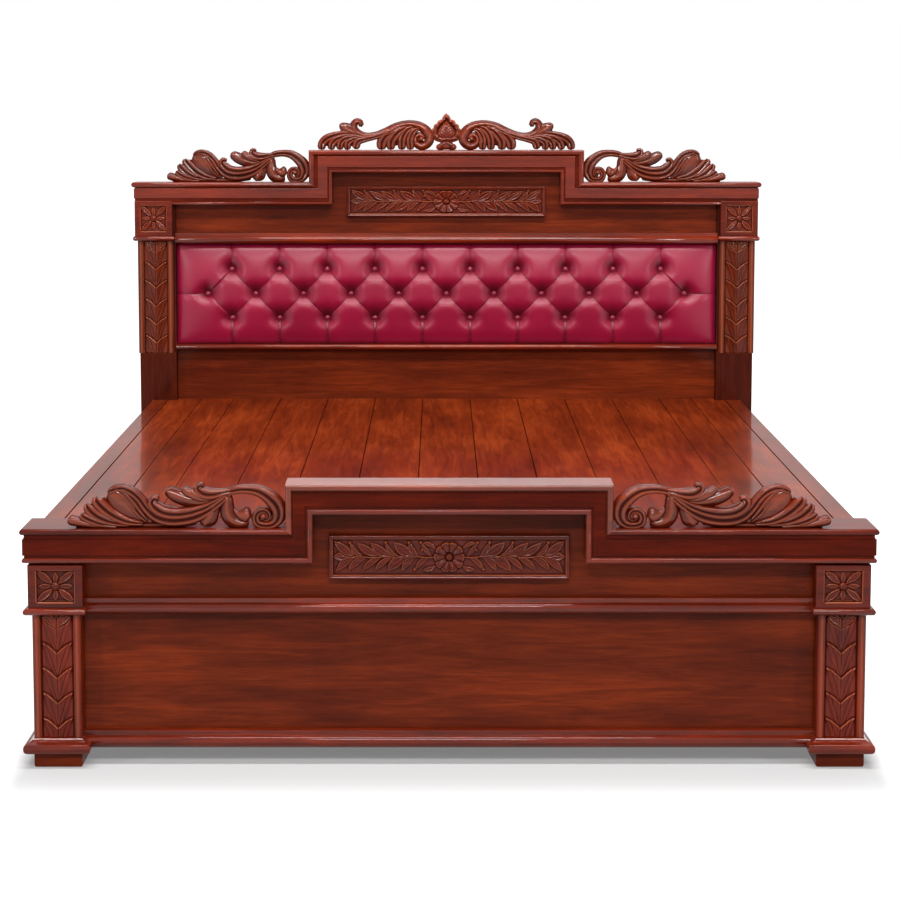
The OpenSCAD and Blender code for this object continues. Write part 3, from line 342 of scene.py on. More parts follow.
def spline(points, count, steps=24):
    """Catmull-Rom curve through the rows of points, evenly spaced by its length in the first two columns."""
    p = np.asarray(points, float)
    p = np.vstack([2 * p[0] - p[1], p, 2 * p[-1] - p[-2]])
    fine = []
    for i in range(1, len(p) - 2):
        t = np.linspace(0, 1, steps, endpoint=False)[:, None]
        a, b, c, d = p[i - 1], p[i], p[i + 1], p[i + 2]
        fine.append(0.5 * (2 * b + (c - a) * t + (2 * a - 5 * b + 4 * c - d) * t**2 + (3 * b - a - 3 * c + d) * t**3))
    fine = np.vstack([*fine, p[-2][None]])
    run = np.concatenate([[0], np.cumsum(np.linalg.norm(np.diff(fine[:, :2], axis=0), axis=1))])
    at = np.linspace(0, run[-1], count)
    return np.stack([np.interp(at, run, fine[:, k]) for k in range(p.shape[1])], 1), run[-1]


# ------ openwork scrolls

# Cross sections of a carved stem: height over s, from -1 at one edge to 1 at the other
PROFILES = {
    "cane": lambda s: np.sqrt(np.maximum(0, 1 - s**2)),
    "groove": lambda s: np.maximum(0, 1 - s**4) ** 0.5 * (1 - 0.3 * np.exp(-((s / 0.22) ** 2))),
    "keel": lambda s: np.maximum(0, 1 - s**2) ** 0.5 * (0.75 + 0.25 * np.exp(-((s / 0.16) ** 2)))}
# Length of a step along a stem, its least and greatest number of steps, and the points round it
STEM_STEP, STEM_COUNT, STEM_ROUND = 0.0035, (14, 90), 26


def there_and_back(a):
    return np.concatenate([a, a[::-1][1:-1]])


def stem_mesh(points, profile, thick, shift):
    """Closed swept stem: points are (u, v, width) in metres; thick is its full depth; shift moves it to the back."""
    _, length = spline(points, 8)
    count = int(np.clip(length / STEM_STEP, *STEM_COUNT))
    spine, length = spline(points, count)
    w = np.maximum(spine[:, 2], 0.001)
    run = np.linspace(0, length, count)
    # Both ends are round
    near = np.clip(run / max(w[0] / 2, 1e-4), 0, 1)
    far = np.clip((length - run) / max(w[-1] / 2, 1e-4), 0, 1)
    taper = np.sqrt(1 - (1 - near) ** 2) * np.sqrt(1 - (1 - far) ** 2)
    tangent = np.gradient(spine[:, :2], axis=0)
    tangent /= np.linalg.norm(tangent, axis=1)[:, None] + 1e-9
    normal = np.stack([-tangent[:, 1], tangent[:, 0]], 1)
    s = np.cos(np.linspace(0, np.pi, STEM_ROUND // 2 + 1))
    h = PROFILES[profile](s)
    s_all, h_all = there_and_back(s), np.concatenate([-h, h[::-1][1:-1]])
    # Painted shading: above 0, painted shade on an edge or in a groove; below 0, a painted highlight on a ridge
    deep = there_and_back(np.minimum(np.maximum.accumulate(h), np.maximum.accumulate(h[::-1])[::-1]) - h)
    edge = np.clip(1.0 - np.abs(h_all) * 1.25, 0, 1) ** 1.5
    painted_shading = np.maximum(edge, 0.9 * np.clip(deep / 0.2, 0, 1) ** 1.3)
    painted_shading -= 0.15 * np.clip((np.abs(h_all) / h.max() - 0.93) / 0.07, 0, 1)
    depth = thick / 2 * np.clip((w / w.max()) ** 0.5, 0.55, 1) * np.clip(taper * 1.15, 0, 1)
    rows = []
    for i in range(1, count - 1):
        uv = spine[i, :2] + normal[i] * (w[i] / 2 * taper[i]) * s_all[:, None]
        rows.append(np.column_stack([uv[:, 0], depth[i] * h_all + shift, uv[:, 1]]))
    verts = np.vstack([*rows, [[spine[0, 0], shift, spine[0, 1]]], [[spine[-1, 0], shift, spine[-1, 1]]]])
    n, m = len(rows), len(s_all)
    faces = [q for i in range(n - 1) for q in band(i * m, (i + 1) * m, m)]
    faces += fan(n * m, 0, m) + fan(n * m + 1, (n - 1) * m, m)
    return verts, faces, np.concatenate([np.tile(painted_shading, n), [0.4, 0.4]])


# Share by which the stems are wider than drawn
FULLER = 1.1


def carving(name, stems, origin, unit, place, sign, thick, node):
    """One openwork carving from drawn stems, whose unit is the size of a drawn step across and up."""
    parts = []
    for profile, share, shift, points in stems:
        path = [((origin[0] - x) * unit[0], (origin[1] - y) * unit[1], w * unit[1] * FULLER) for x, y, w in points]
        v, f, c = stem_mesh(path, profile, thick * share, -shift * thick)
        # Nothing goes under the ledge or into the riser
        v[:, 2] = np.maximum(v[:, 2], 0.0)
        v[:, 0] = np.maximum(v[:, 0], 0.0005)
        parts.append((v * (sign, 1, 1) + place, f, c))
    carved_object(name, parts, node)


# Side scroll, drawn with its riser on the right. Each stem: profile, share of the thickness, shift to the front as a
# share of the thickness, and its points across, down and the width there, in drawn steps
SIDE_SCROLL = [
    ("groove", 0.95, 0, [(219, 501, 4), (226, 494, 7), (236, 490.8, 8.5), (247, 490.2, 9), (258, 492, 11),
     (267, 497, 13), (275, 504.5, 15), (278.2, 512, 14), (277.5, 519.5, 12), (272.5, 525.5, 9), (265, 527, 8),
     (257.5, 525, 8.5), (255, 518.8, 8), (258, 513.2, 7.5), (264, 512, 7), (268, 516, 6), (266, 520.8, 5),
     (262, 519.5, 4)]),
    ("keel", 0.95, 0.02, [(222, 497, 5), (226.5, 499, 10), (226.5, 507, 13), (228, 516, 15), (233, 522, 15),
     (241, 524.3, 13), (248, 522, 9)]),
    ("cane", 0.95, 0.1, [(233.5, 508.5, 3), (236, 513, 6), (240.5, 515.5, 12), (246, 516.3, 16), (251, 517.5, 12)]),
    ("keel", 0.85, 0.05, [(219.5, 498, 3), (216, 505, 9), (211.5, 513, 14), (207.5, 520, 17), (204.5, 525.5, 12),
     (203.5, 528.5, 7)]),
    ("groove", 0.9, 0.04, [(232, 492, 4), (220, 502.5, 8), (208, 511.5, 10), (196, 517.5, 12), (182, 520.8, 12),
     (168, 521, 12), (156, 517.5, 11), (147, 509.5, 10), (140, 500, 9), (132, 492.7, 9), (123, 489.2, 8),
     (114, 490, 7), (107.5, 494, 5)]),
    ("groove", 0.9, 0.12, [(226, 495.5, 4), (214, 503.5, 7), (202, 509.5, 9), (189, 513.2, 11), (176, 514.6, 12),
     (164, 513, 12.5), (155.8, 508.3, 12), (152.3, 503, 10), (155.2, 499.6, 8), (158.6, 502, 5)]),
    ("keel", 0.85, 0.02, [(224, 494, 4), (212, 501, 8), (200, 503.2, 11), (188, 501, 14), (177, 496.8, 14),
     (169, 492.6, 11), (164.8, 490, 6)]),
    ("cane", 0.8, 0.08, [(213, 500, 4), (201, 499.5, 8), (191, 495, 10), (185, 491, 9), (181.5, 489, 5)]),
    ("groove", 0.85, 0.1, [(232, 491.3, 4), (218, 494.2, 9), (207, 494.8, 12), (200, 491.8, 11), (198, 487.8, 8),
     (201.3, 486.3, 6), (203.3, 488.8, 4)]),
    ("cane", 0.7, 0.14, [(209, 498.5, 3), (199.5, 497, 7), (193, 493.3, 7), (190.5, 489.8, 5)]),
    ("cane", 0.95, -0.1, [(152, 524, 5), (142, 517.5, 16), (131, 508.8, 27), (120.5, 501, 29), (112.5, 495, 21),
     (107.5, 491.5, 10)]),
    ("groove", 0.85, 0, [(148, 523, 4), (139.5, 514.5, 8), (132, 504.5, 9), (125, 496.3, 8), (117.5, 491.3, 6),
     (111, 490, 4)]),
    ("groove", 0.85, 0.04, [(144, 525, 4), (127, 522.3, 9), (113, 515.8, 12), (102.5, 507.5, 13), (97, 500.8, 12),
     (97, 497.3, 7)]),
    ("groove", 0.8, 0.08, [(130, 526, 4), (113, 523.3, 8), (100, 518.3, 11), (91.3, 511.8, 12), (87.3, 506.5, 9),
     (87, 504.2, 6)]),
    ("groove", 0.75, 0.11, [(118, 527, 4), (103, 525, 7), (92, 521.3, 9), (84.3, 517.3, 9), (81, 514, 7)]),
    ("cane", 0.75, 0.13, [(106, 527.5, 4), (92, 526, 6), (80, 523.3, 9), (71.5, 521.3, 10), (67, 519.8, 8)]),
    ("cane", 0.6, -0.15, [(74, 527.2, 4), (100, 527.4, 4), (140, 527, 5), (175, 526, 6), (196, 525, 4)]),
    ("cane", 1, 0.08, [(259.5, 517.5, 5), (263, 516.8, 7.5), (266.5, 516.5, 5)]),
]

# Crest scroll, drawn with the finial on its right
CREST_SCROLL = [
    ("keel", 0.95, 0, [(359.5, 127, 4), (361.3, 124, 6), (358, 121.8, 6.5), (354.3, 125, 7), (355, 130.5, 8),
     (360.5, 134.5, 7), (368, 135.8, 5.5), (377, 134.5, 5.5), (387, 130.8, 6), (397, 126.6, 7), (408, 124.3, 7),
     (419, 126, 8), (426.5, 131, 9), (430, 137.3, 9), (428, 143.3, 8.5), (422, 146.3, 8), (416.5, 143.5, 7),
     (415.6, 138.3, 6), (419.4, 135.2, 5.5), (423.6, 137, 5), (422.5, 140, 4)]),
    ("keel", 0.8, 0.03, [(360, 135, 6), (352.5, 132, 12), (346.5, 128.6, 11), (342.5, 126, 7), (340, 124.5, 3)]),
    ("groove", 0.8, 0, [(366, 136, 4), (352, 133.9, 5), (339, 134.8, 6.5), (328.5, 138.3, 8), (323, 143.5, 8),
     (322, 150.5, 7)]),
    ("groove", 0.8, 0.03, [(366, 137, 3), (351, 136, 5), (339, 138.6, 7), (333, 143.5, 7.5), (331.5, 150.5, 6.5)]),
    ("groove", 0.8, 0.06, [(368, 137.5, 3), (355, 137.3, 5), (345, 139.6, 7), (341, 144, 7), (340.5, 150.5, 6.5)]),
    ("groove", 0.8, 0.09, [(372, 137.8, 3), (360, 138.5, 4.5), (351.5, 140.8, 6), (348, 144.5, 7), (348.5, 150.5, 6)]),
    ("groove", 0.85, 0.12, [(402, 126, 3), (389, 132.5, 4.5), (377, 136.8, 5), (366, 139.5, 5.5), (358.5, 142, 7),
     (355.5, 149.5, 8)]),
    ("groove", 0.8, 0.04, [(404, 126, 4), (394, 130.5, 8), (386.5, 136.5, 10), (382.5, 142.5, 10), (382, 150.5, 8)]),
    ("groove", 0.8, 0.08, [(408, 127, 4), (399, 132, 8), (393.3, 138.3, 9.5), (391.3, 143, 9), (391.5, 150.5, 7)]),
    ("groove", 0.8, 0.04, [(414, 127, 4), (407.5, 130.5, 7), (403.6, 136, 8), (402.2, 142, 8), (402.5, 150.5, 7)]),
    ("groove", 0.8, 0.08, [(420, 129, 3), (414.3, 131.5, 6), (411.2, 136.5, 7), (410.3, 142, 7.5), (411, 150.5, 7)]),
    ("cane", 0.5, -0.15, [(415, 139.5, 6), (419.5, 139, 9), (424, 138.5, 6)]),
    ("cane", 1, 0.05, [(419, 139.5, 4), (421.5, 139.2, 6), (424, 139.3, 4)]),
    ("cane", 0.55, -0.12, [(323, 143.5, 5), (334, 141.8, 9), (345, 141.8, 9), (357, 142, 8)]),
    ("cane", 0.6, -0.1, [(383, 143, 6), (388, 140.5, 14), (397, 139, 12), (409, 138.5, 9)]),
]

# Where the drawings' zero lies and how large a drawn step is, across and up
FOOT_SIDE = dict(stems=SIDE_SCROLL, origin=(285, 529), unit=(2.365 * MM, 2.37 * MM), thick=0.040)
HEAD_SIDE = dict(stems=SIDE_SCROLL, origin=(285, 529), unit=(2.365 * MM * 0.912, 2.37 * MM * 1.02), thick=0.034)
CREST = dict(stems=CREST_SCROLL, origin=(446.6, 150), unit=(3.31 * MM, 3.31 * MM), thick=0.034)
foot_lo, foot_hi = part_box("foot_side_caps")
head_lo, head_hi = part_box("head_side_caps")
head_top, foot_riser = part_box("head_top_cap")[1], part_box("foot_top_cap")[1].x
# The middle of the scrolls' thickness, behind the front edges of the caps
foot_y, head_y = foot_lo.y + 0.028, head_lo.y + 0.040
for word, sign in (("left", -1), ("right", 1)):
    for what, drawing, place in (("foot_scroll_", FOOT_SIDE, (sign * foot_riser, foot_y, foot_hi.z)),
                                 ("head_scroll_", HEAD_SIDE, (sign * head_top.x, head_y, head_hi.z)),
                                 ("crest_scroll_", CREST, (0, head_y, head_top.z))):
        carving("carved_" + what + word, **drawing, place=place, sign=sign, node=what + word)

# ------ carved reliefs


def bell(d, width):
    """1 at the distance 0, and falling to nothing over about twice the width."""
    return np.exp(-((d / width) ** 2))


def hollows(height, step, reach):
    """0 to 1: how far each point of a height grid lies under its surroundings."""
    around = height.copy()
    kernel = np.ones(2 * reach + 1) / (2 * reach + 1)
    for axis in (0, 1):
        for _ in range(2):
            around = np.apply_along_axis(lambda r: np.convolve(np.pad(r, reach, "edge"), kernel, "valid"), axis, around)
    return np.clip((around - height) / step, 0, 1)


def grid_mesh(xs, zs, height, back):
    """Front over a grid, closed by a flat back: the height grid stands towards the footboard."""
    X, Z = np.meshgrid(xs, zs)
    nx, nz = len(xs), len(zs)
    front = np.column_stack([X.ravel(), -height.ravel(), Z.ravel()])
    idx = np.arange(nx * nz).reshape(nz, nx)
    rim = np.concatenate([idx[0], idx[1:, -1], idx[-1, -2::-1], idx[-2:0:-1, 0]])
    behind = front[rim].copy()
    behind[:, 1] = back
    n, m = len(front), len(rim)
    quads = np.stack([idx[:-1, :-1], idx[:-1, 1:], idx[1:, 1:], idx[1:, :-1]], -1).reshape(-1, 4)
    faces = [tuple(q) for q in quads.tolist()]
    faces += [(int(rim[i]), n + i, n + (i + 1) % m, int(rim[(i + 1) % m])) for i in range(m)]
    faces.append(tuple(range(n + m - 1, n - 1, -1)))
    return np.vstack([front, behind]), faces


def grid_lines(half, step):
    """Even lines from -half to half, with closer ones at both ends."""
    inset = np.array((0.0006, 0.0016, 0.003))
    lines = np.linspace(-half, half, int(2 * half / step) + 1)
    return np.unique(np.round(np.concatenate([lines, inset - half, half - inset]), 5))


def gouged(across, half):
    """Cross section of a carved leaf: raised edges, a hollow on both sides of a fine midrib."""
    q = np.clip(np.abs(across) / np.maximum(half, 1e-6), 0, 1)
    return 0.5 + 0.5 * q**2 + 0.28 * bell(q, 0.16)


def leaf_height(u, v, base, bend, tip, width, top):
    """Height of one leaf over the ground: its midrib bends from base to tip."""
    out = np.zeros(u.shape)
    lo = np.minimum(np.minimum(base, bend), tip) - width
    hi = np.maximum(np.maximum(base, bend), tip) + width
    near = (u > lo[0]) & (u < hi[0]) & (v > lo[1]) & (v < hi[1])
    if not near.any():
        return out
    t = np.linspace(0, 1, 40)[:, None]
    rib = (1 - t) ** 2 * np.array(base) + 2 * t * (1 - t) * np.array(bend) + t**2 * np.array(tip)
    d2 = (u[near][:, None] - rib[:, 0]) ** 2 + (v[near][:, None] - rib[:, 1]) ** 2
    k = d2.argmin(1)
    d, along = np.sqrt(d2[np.arange(len(k)), k]), t[k, 0]
    half = width / 2 * np.sin(np.pi * np.clip(along, 0.03, 0.985) ** 1.25) ** 0.75
    rise = np.clip((half - d) / 0.0007 + 0.5, 0, 1)
    out[near] = rise * top * gouged(d, half) * (0.75 + 0.25 * along)
    return out


def ball_height(u, v, at, radius, top):
    d = np.hypot(u - at[0], v - at[1]) / radius
    return top * np.sqrt(np.maximum(0, 1 - d**2))


def flower_height(u, v, radius, count, top):
    """Round flower: gouged petals with raised rims, creases between them and a ball in the middle."""
    r, angle = np.hypot(u, v), np.arctan2(v, u) + np.pi / 2
    s = np.abs(((angle * count / (2 * np.pi)) % 1) * 2 - 1)
    inside = np.clip((radius * (1 - 0.1 * s**2.5) - r) / 0.0008 + 0.5, 0, 1)
    body = (0.45 + 0.55 * (r / radius) ** 1.5) * (1 - 0.5 * bell(1 - s, 0.16)) + 0.22 * bell(s, 0.14)
    ring = np.clip(1 - bell(r - radius * 0.26, 0.0022), 0.35, 1)
    return np.maximum(inside * top * body * ring, ball_height(u, v, (0, 0), radius * 0.24, top * 1.15))


def star_height(u, v, half_u, half_v, top):
    """Square flower of a corner block: four long petals to the corners and four short ones between them."""
    out = np.zeros(u.shape)
    for x, z in ((1, 0), (1, 1), (0, 1), (-1, 1), (-1, 0), (-1, -1), (0, -1), (1, -1)):
        reach, width, rise = (0.99, 0.36, 1) if x and z else (0.9, 0.24, 0.8)
        tip = np.array([x * half_u, z * half_v]) * reach
        base = tip * 0.12
        out = np.maximum(out, leaf_height(u, v, base, (base + tip) / 2, tip, half_u * width, top * rise))
    return np.maximum(out * np.clip(np.hypot(u, v) / 0.011 - 0.2, 0, 1), ball_height(u, v, (0, 0), 0.0105, top * 1.3))


# Height of a tier of leaves on a pilaster, and the fall of its edge from the sides to the middle as a share of it
TIER, DROP = 0.061, 0.42


def tiers(u, v, half, low, high):
    """The tiers of leaves in a pilaster's field.

    For each: whether a point is in it, how high up in it, how far under its upper edge, and how near to a vein.
    """
    s = np.clip(np.abs(u) / half, 0, 1)
    drop = DROP * TIER
    for v0 in np.arange(high - 0.56 * TIER, low - TIER, -TIER):
        upper = v0 + drop * (1 - (1 - s) ** 1.5)
        lower = v0 - TIER + (drop + TIER) * s**1.5
        inside = np.clip((upper - v) / 0.0008, 0, 1) * np.clip((v - lower) / 0.004, 0, 1) * (s < 0.97)
        q = np.clip((v - lower) / np.maximum(upper - lower, 1e-4), 0, 1)
        yield inside, q, upper - v, bell(s - 0.8 * q**1.1, 0.05)


def over_edge(under, width=0.0015):
    """The cut that runs along the upper edge of a tier."""
    return bell(under + 0.0016, width)


def crown(u, v, half, high):
    """The fan of leaves at the head of a pilaster: the ground that it clears round itself, and its own height."""
    foot = high - 0.62 * TIER
    ribs = [((0, foot), (0, foot + TIER * 0.3), (0, foot + TIER * 0.6), half * 0.3)]
    for side in (-1, 1):
        for reach, lift, wide in ((0.92, 0.5, 0.42), (0.5, 0.58, 0.34)):
            bend, tip = (side * half * reach * 0.4, foot + TIER * 0.42), (side * half * reach, foot + TIER * lift)
            ribs.append(((0, foot), bend, tip, half * wide))
    around, leaves = np.zeros(u.shape), np.zeros(u.shape)
    for *points, width in ribs:
        around = np.maximum(around, leaf_height(u, v, *points, width + 0.006, 1))
        leaves = np.maximum(leaves, leaf_height(u, v, *points, width, 1))
    return around, leaves


def tier_height(u, v, half, low, high, top):
    """Field of a pilaster: a rib with pairs of leaves that end in a row of V-shaped arcs."""
    out = np.zeros(u.shape)
    for inside, q, under, vein in tiers(u, v, half, low, high):
        body = 0.3 + 0.55 * q**1.6 + 0.15 * bell(under - 0.003, 0.002) - 0.35 * vein
        out = np.maximum(out, inside * top * body)
    for _, _, under, _ in tiers(u, v, half, low, high):
        out *= 1 - 0.95 * over_edge(under)
    around, leaves = crown(u, v, half, high)
    out = np.maximum(np.where(around > 0, 0, out), leaves * top * 1.17)
    return out * (1 - 0.7 * bell(u, 0.0011))


# Garland of a tablet, from the middle outwards: base, bend and tip of each leaf and its width, in mm
GARLAND = [((42, 1), (52, 10), (66, 34), 9), ((46, -1), (66, -4), (80, -30), 12), ((72, 1), (88, 8), (95, 34), 13),
    ((78, -1), (100, -4), (111, -32), 16), ((84, 2), (104, 10), (131, 34), 24),
    ((100, -2), (124, -4), (146, -32), 24), ((118, 2), (140, 4), (152, 35), 10),
    ((134, -2), (156, -4), (176, -33), 13), ((138, 2), (158, 8), (186, 33), 21),
    ((160, -2), (186, -6), (205, -32), 14), ((168, 3), (190, 10), (218, 33), 19),
    ((196, -2), (222, -4), (238, -32), 16), ((204, 2), (226, 6), (235, 35), 11),
    ((224, -1), (246, -4), (268, -34), 18), ((226, 3), (246, 14), (272, 37), 20),
    ((236, 0), (254, 2), (274, 1), 20), ((32, 18), (44, 34), (62, 33), 9), ((32, -22), (44, -32), (62, -30), 10)]
# Middle and radius of each ball between the leaves, in mm
GARLAND_BALLS = [((64, 17), 4), ((67, 35), 3.6), ((81, -29), 4), ((96, 35), 3.6), ((151, 35), 3.6),
    ((236, 35), 3.6), ((258, 8), 4)]


def garland_height(u, v, stretch, top):
    u = np.abs(u) / stretch
    out = np.clip((0.0022 - np.abs(v - 0.0012 * np.sin(u * 95))) / 0.0016, 0, 1) * (u > 0.03) * (u < 0.245) * top * 0.8
    for base, bend, tip, width in GARLAND:
        points = [np.array(p) * MM for p in (base, bend, tip)]
        out = np.maximum(out, leaf_height(u, v, *points, width * MM, top))
    for at, radius in GARLAND_BALLS:
        out = np.maximum(out, ball_height(u, v, np.array(at) * MM, radius * MM, top * 1.15))
    return np.maximum(out, flower_height(u, v, 0.036, 10, top * 1.15))


# How far and over which width the outer edge of a carved block is rounded off
EDGE_FALL, EDGE_WIDTH = 0.0012, 0.0014


def relief(name, node, ground, step=0.0013, wood="block", short=0.0, tone=None):
    """Carved block in place of a CAD node: ground(u, v, half_u, half_v) is the depth of its face, at most 0.

    It ends short of the node's back by the given length, so that it doesn't lie in the back face of its post.
    """
    lo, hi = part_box(node)
    half_u, half_v = (hi.x - lo.x) / 2, (hi.z - lo.z) / 2
    us, vs = grid_lines(half_u, step), grid_lines(half_v, step)
    field = (*np.meshgrid(us, vs), half_u, half_v)
    rim = np.minimum(half_u - np.abs(field[0]), half_v - np.abs(field[1]))
    front = hi.y - lo.y + ground(*field) - EDGE_FALL * (1 - np.clip(rim / EDGE_WIDTH, 0, 1)) ** 2
    verts, faces = grid_mesh(us, vs, front, -short)
    dark, light = np.zeros(len(verts)), np.zeros(len(verts))
    # Painted shade in the hollows and a painted highlight on raised points; tone adds more of both
    dark[:front.size] = hollows(front, 0.0032, 3).ravel()
    light[:front.size] = 0.5 * np.clip(hollows(-front, 0.0022, 1) * 1.5 - 0.2, 0, 1).ravel()
    if tone is not None:
        more_dark, more_light = tone(*field)
        dark[:front.size] = np.maximum(dark[:front.size], more_dark.ravel())
        light[:front.size] += more_light.ravel()
    verts = verts + ((lo.x + hi.x) / 2, hi.y, (lo.z + hi.z) / 2)
    obj = mesh_object(name, verts, faces, CARVED[wood], painted_shading=dark, rim=light)
    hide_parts(node)


def sunk(u, v, half_u, half_v, depth):
    """Depth of a rectangular recess with steep walls, and how far inside it a point is."""
    inside = np.minimum(half_u - np.abs(u), half_v - np.abs(v))
    return -depth * np.clip(inside / 0.0015, 0, 1), inside


# Field of a corner block as shares of its half width and height, its depth, and the height of its flower
BLOCK_FIELD, BLOCK_DEPTH, STAR_RISE = (0.69, 0.75), 0.0085, 0.0072
# Carving stands only where the ground is deeper than this
CARVED_UNDER = -0.005


def block_ground(u, v, half_u, half_v):
    fu, fv = half_u * BLOCK_FIELD[0], half_v * BLOCK_FIELD[1]
    floor, inside = sunk(u, v, fu, fv, BLOCK_DEPTH)
    carved = np.maximum(0.002 * bell(inside - 0.0038, 0.0012), star_height(u, v, fu * 0.96, fv * 0.96, STAR_RISE))
    return np.minimum(floor + carved * (floor < CARVED_UNDER), 0)


# Half width of a pilaster's field, and middle and half width of the reeds beside it, as shares of its half width
FIELD, REED_MID, REED_HALF = 0.62, 0.83, 0.155
# Depth of the field's ground and of the foot of the reeds, and height of the leaves
FIELD_DEPTH, REED_DEPTH, LEAF_RISE = 0.0075, 0.006, 0.0064


def pilaster_ground(u, v, half_u, half_v):
    a, field = np.abs(u), half_u * FIELD
    reed = REED_DEPTH * (np.sqrt(np.maximum(0, 1 - ((a / half_u - REED_MID) / REED_HALF) ** 2)) - 1)
    out = np.where(a > field + 0.001, reed, -0.0052)
    out = np.where(a > half_u * (REED_MID + REED_HALF), -0.004, out)
    out = np.where(a <= field, tier_height(u, v, field, -half_v, half_v, LEAF_RISE) - FIELD_DEPTH, out)
    return np.minimum(out - 0.004 * bell(a - field - 0.0012, 0.0016), 0)


def pilaster_painted_shading(u, v, half_u, half_v):
    """Painted shade in the cuts between the leaves, and a painted highlight along the middle of the reeds."""
    field = half_u * FIELD
    dark = np.zeros(u.shape)
    for inside, _, under, vein in tiers(u, v, field, -half_v, half_v):
        dark = np.maximum(dark, np.maximum(over_edge(under, 0.0026), 0.7 * vein * (inside > 0)))
    around, leaves = crown(u, v, field, half_v)
    dark = np.where(around > 0, 0.9 * (leaves < 0.1), dark) * (np.abs(u) < field)
    return dark, 0.28 * bell(np.abs(u) / half_u - REED_MID, 0.06)


# Depth of a tablet's field, height of its garland and of the bead round it, and half the length of the drawing
TABLET_DEPTH, GARLAND_RISE, BEAD_RISE, GARLAND_HALF = 0.009, 0.008, 0.0016, 0.2865


def tablet_ground(u, v, half_u, half_v):
    floor, inside = sunk(u, v, half_u - 0.009, half_v - 0.0095, TABLET_DEPTH)
    bead = BEAD_RISE * (bell(inside + 0.006, 0.0022) - 1) * (inside < 0)
    garland = garland_height(u, v, half_u / GARLAND_HALF, GARLAND_RISE) * (floor < CARVED_UNDER)
    return np.minimum(floor + bead + garland, 0)


for end in ("foot", "head"):
    for side in ("left", "right"):
        relief(f"carved_{end}_block_{side}", f"{end}_corner_block_{side}", block_ground, short=0.001)
        relief(f"carved_{end}_pilaster_{side}", f"{end}_pilaster_{side}", pilaster_ground, wood=end + "_pilaster",
               tone=pilaster_painted_shading)
    relief(f"carved_{end}_tablet", f"{end}_tablet", tablet_ground, step=0.0011)

# ------ base mouldings of the foot posts

# From the top down: how far the moulding stands out from the pilaster, and its height over the floor, in mm
BASE_PROFILE = [(0.5, 70), (3, 67.5), (6, 65.2), (9.5, 63), (13.5, 61), (17, 59.5), (19.6, 57.6), (21.3, 54.8),
    (22, 51), (22, 47), (21.3, 43), (19.6, 39.6), (17, 37), (13, 35), (8, 33.4), (3, 32.2), (0.3, 31.5)]


def base_mouldings():
    post_lo, post_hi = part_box("foot_post_left")
    plinth_lo, plinth_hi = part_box("foot_plinth_left")
    verts, faces = [], []
    for sign in (-1, 1):
        first = len(verts)
        for out, z in BASE_PROFILE:
            out *= MM
            x0, x1 = sorted((sign * (-post_lo.x + out), sign * (-plinth_hi.x - out)))
            front, back = plinth_lo.y - out, post_hi.y
            verts += [(x, y, z * MM) for x, y in ((x0, front), (x1, front), (x1, back), (x0, back))]
        last = len(verts) - 4
        faces += [q for a in range(first, last, 4) for q in band(a, a + 4, 4)]
        faces += [tuple(range(first, first + 4)), tuple(range(last + 3, last - 1, -1))]
    obj = mesh_object("base_mouldings", verts, faces, MOULD)
    obj.data.set_sharp_from_angle(angle=math.radians(35))
    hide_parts("foot_base_mouldings")


base_mouldings()

# ------ bands behind the fascias


def stepped(x, side_z, riser, top_z):
    return [(x, side_z), (riser, side_z), (riser, top_z), (-riser, top_z), (-riser, side_z), (-x, side_z)]


def fascia_backing(name, x, side_z, riser, top_z, cap, bead, front, core, post_x, back):
    """Closes the grooves over and under a fascia, along the stepped outline and round both ends. All in mm.

    x, side_z, riser and top_z are the outline, cap is the thickness of the caps over it, bead is how far the bead
    lies under the outline at the sides, risers and top, and the band fills the depth from front to core.
    """
    outline = stepped(x, side_z - cap, riser - cap, top_z - cap)
    outline += stepped(x, side_z - bead[0], riser - bead[1], top_z - bead[2])[::-1]
    n = len(outline)
    verts = [(u, y, z) for y in (front, core) for u, z in outline]
    faces = [tuple(range(n)), tuple(range(2 * n - 1, n - 1, -1))] + band(0, n, n)
    for sign in (-1, 1):
        a = len(verts)
        verts += [(sign * u, y, z) for z in (side_z - bead[0], side_z - cap)
                  for u, y in ((post_x - 1, core), (x, core), (x, back - 1), (post_x - 1, back - 1))]
        faces += [tuple(range(a, a + 4)), tuple(range(a + 4, a + 8))] + band(a, a + 4, 4)
    obj = mesh_object(name, np.array(verts) * MM, faces, FASCIA, smooth=False)


fascia_backing("foot_fascia_backing", x=1003, side_z=580, riser=386, top_z=685, cap=15, bead=(70, 51, 59),
               front=-1086, core=-1061, post_x=990, back=-960)
fascia_backing("head_fascia_backing", x=1027, side_z=1306, riser=453, top_z=1411, cap=18, bead=(63, 64, 62),
               front=993, core=1013, post_x=1017, back=1095)

# ------ leaf finial


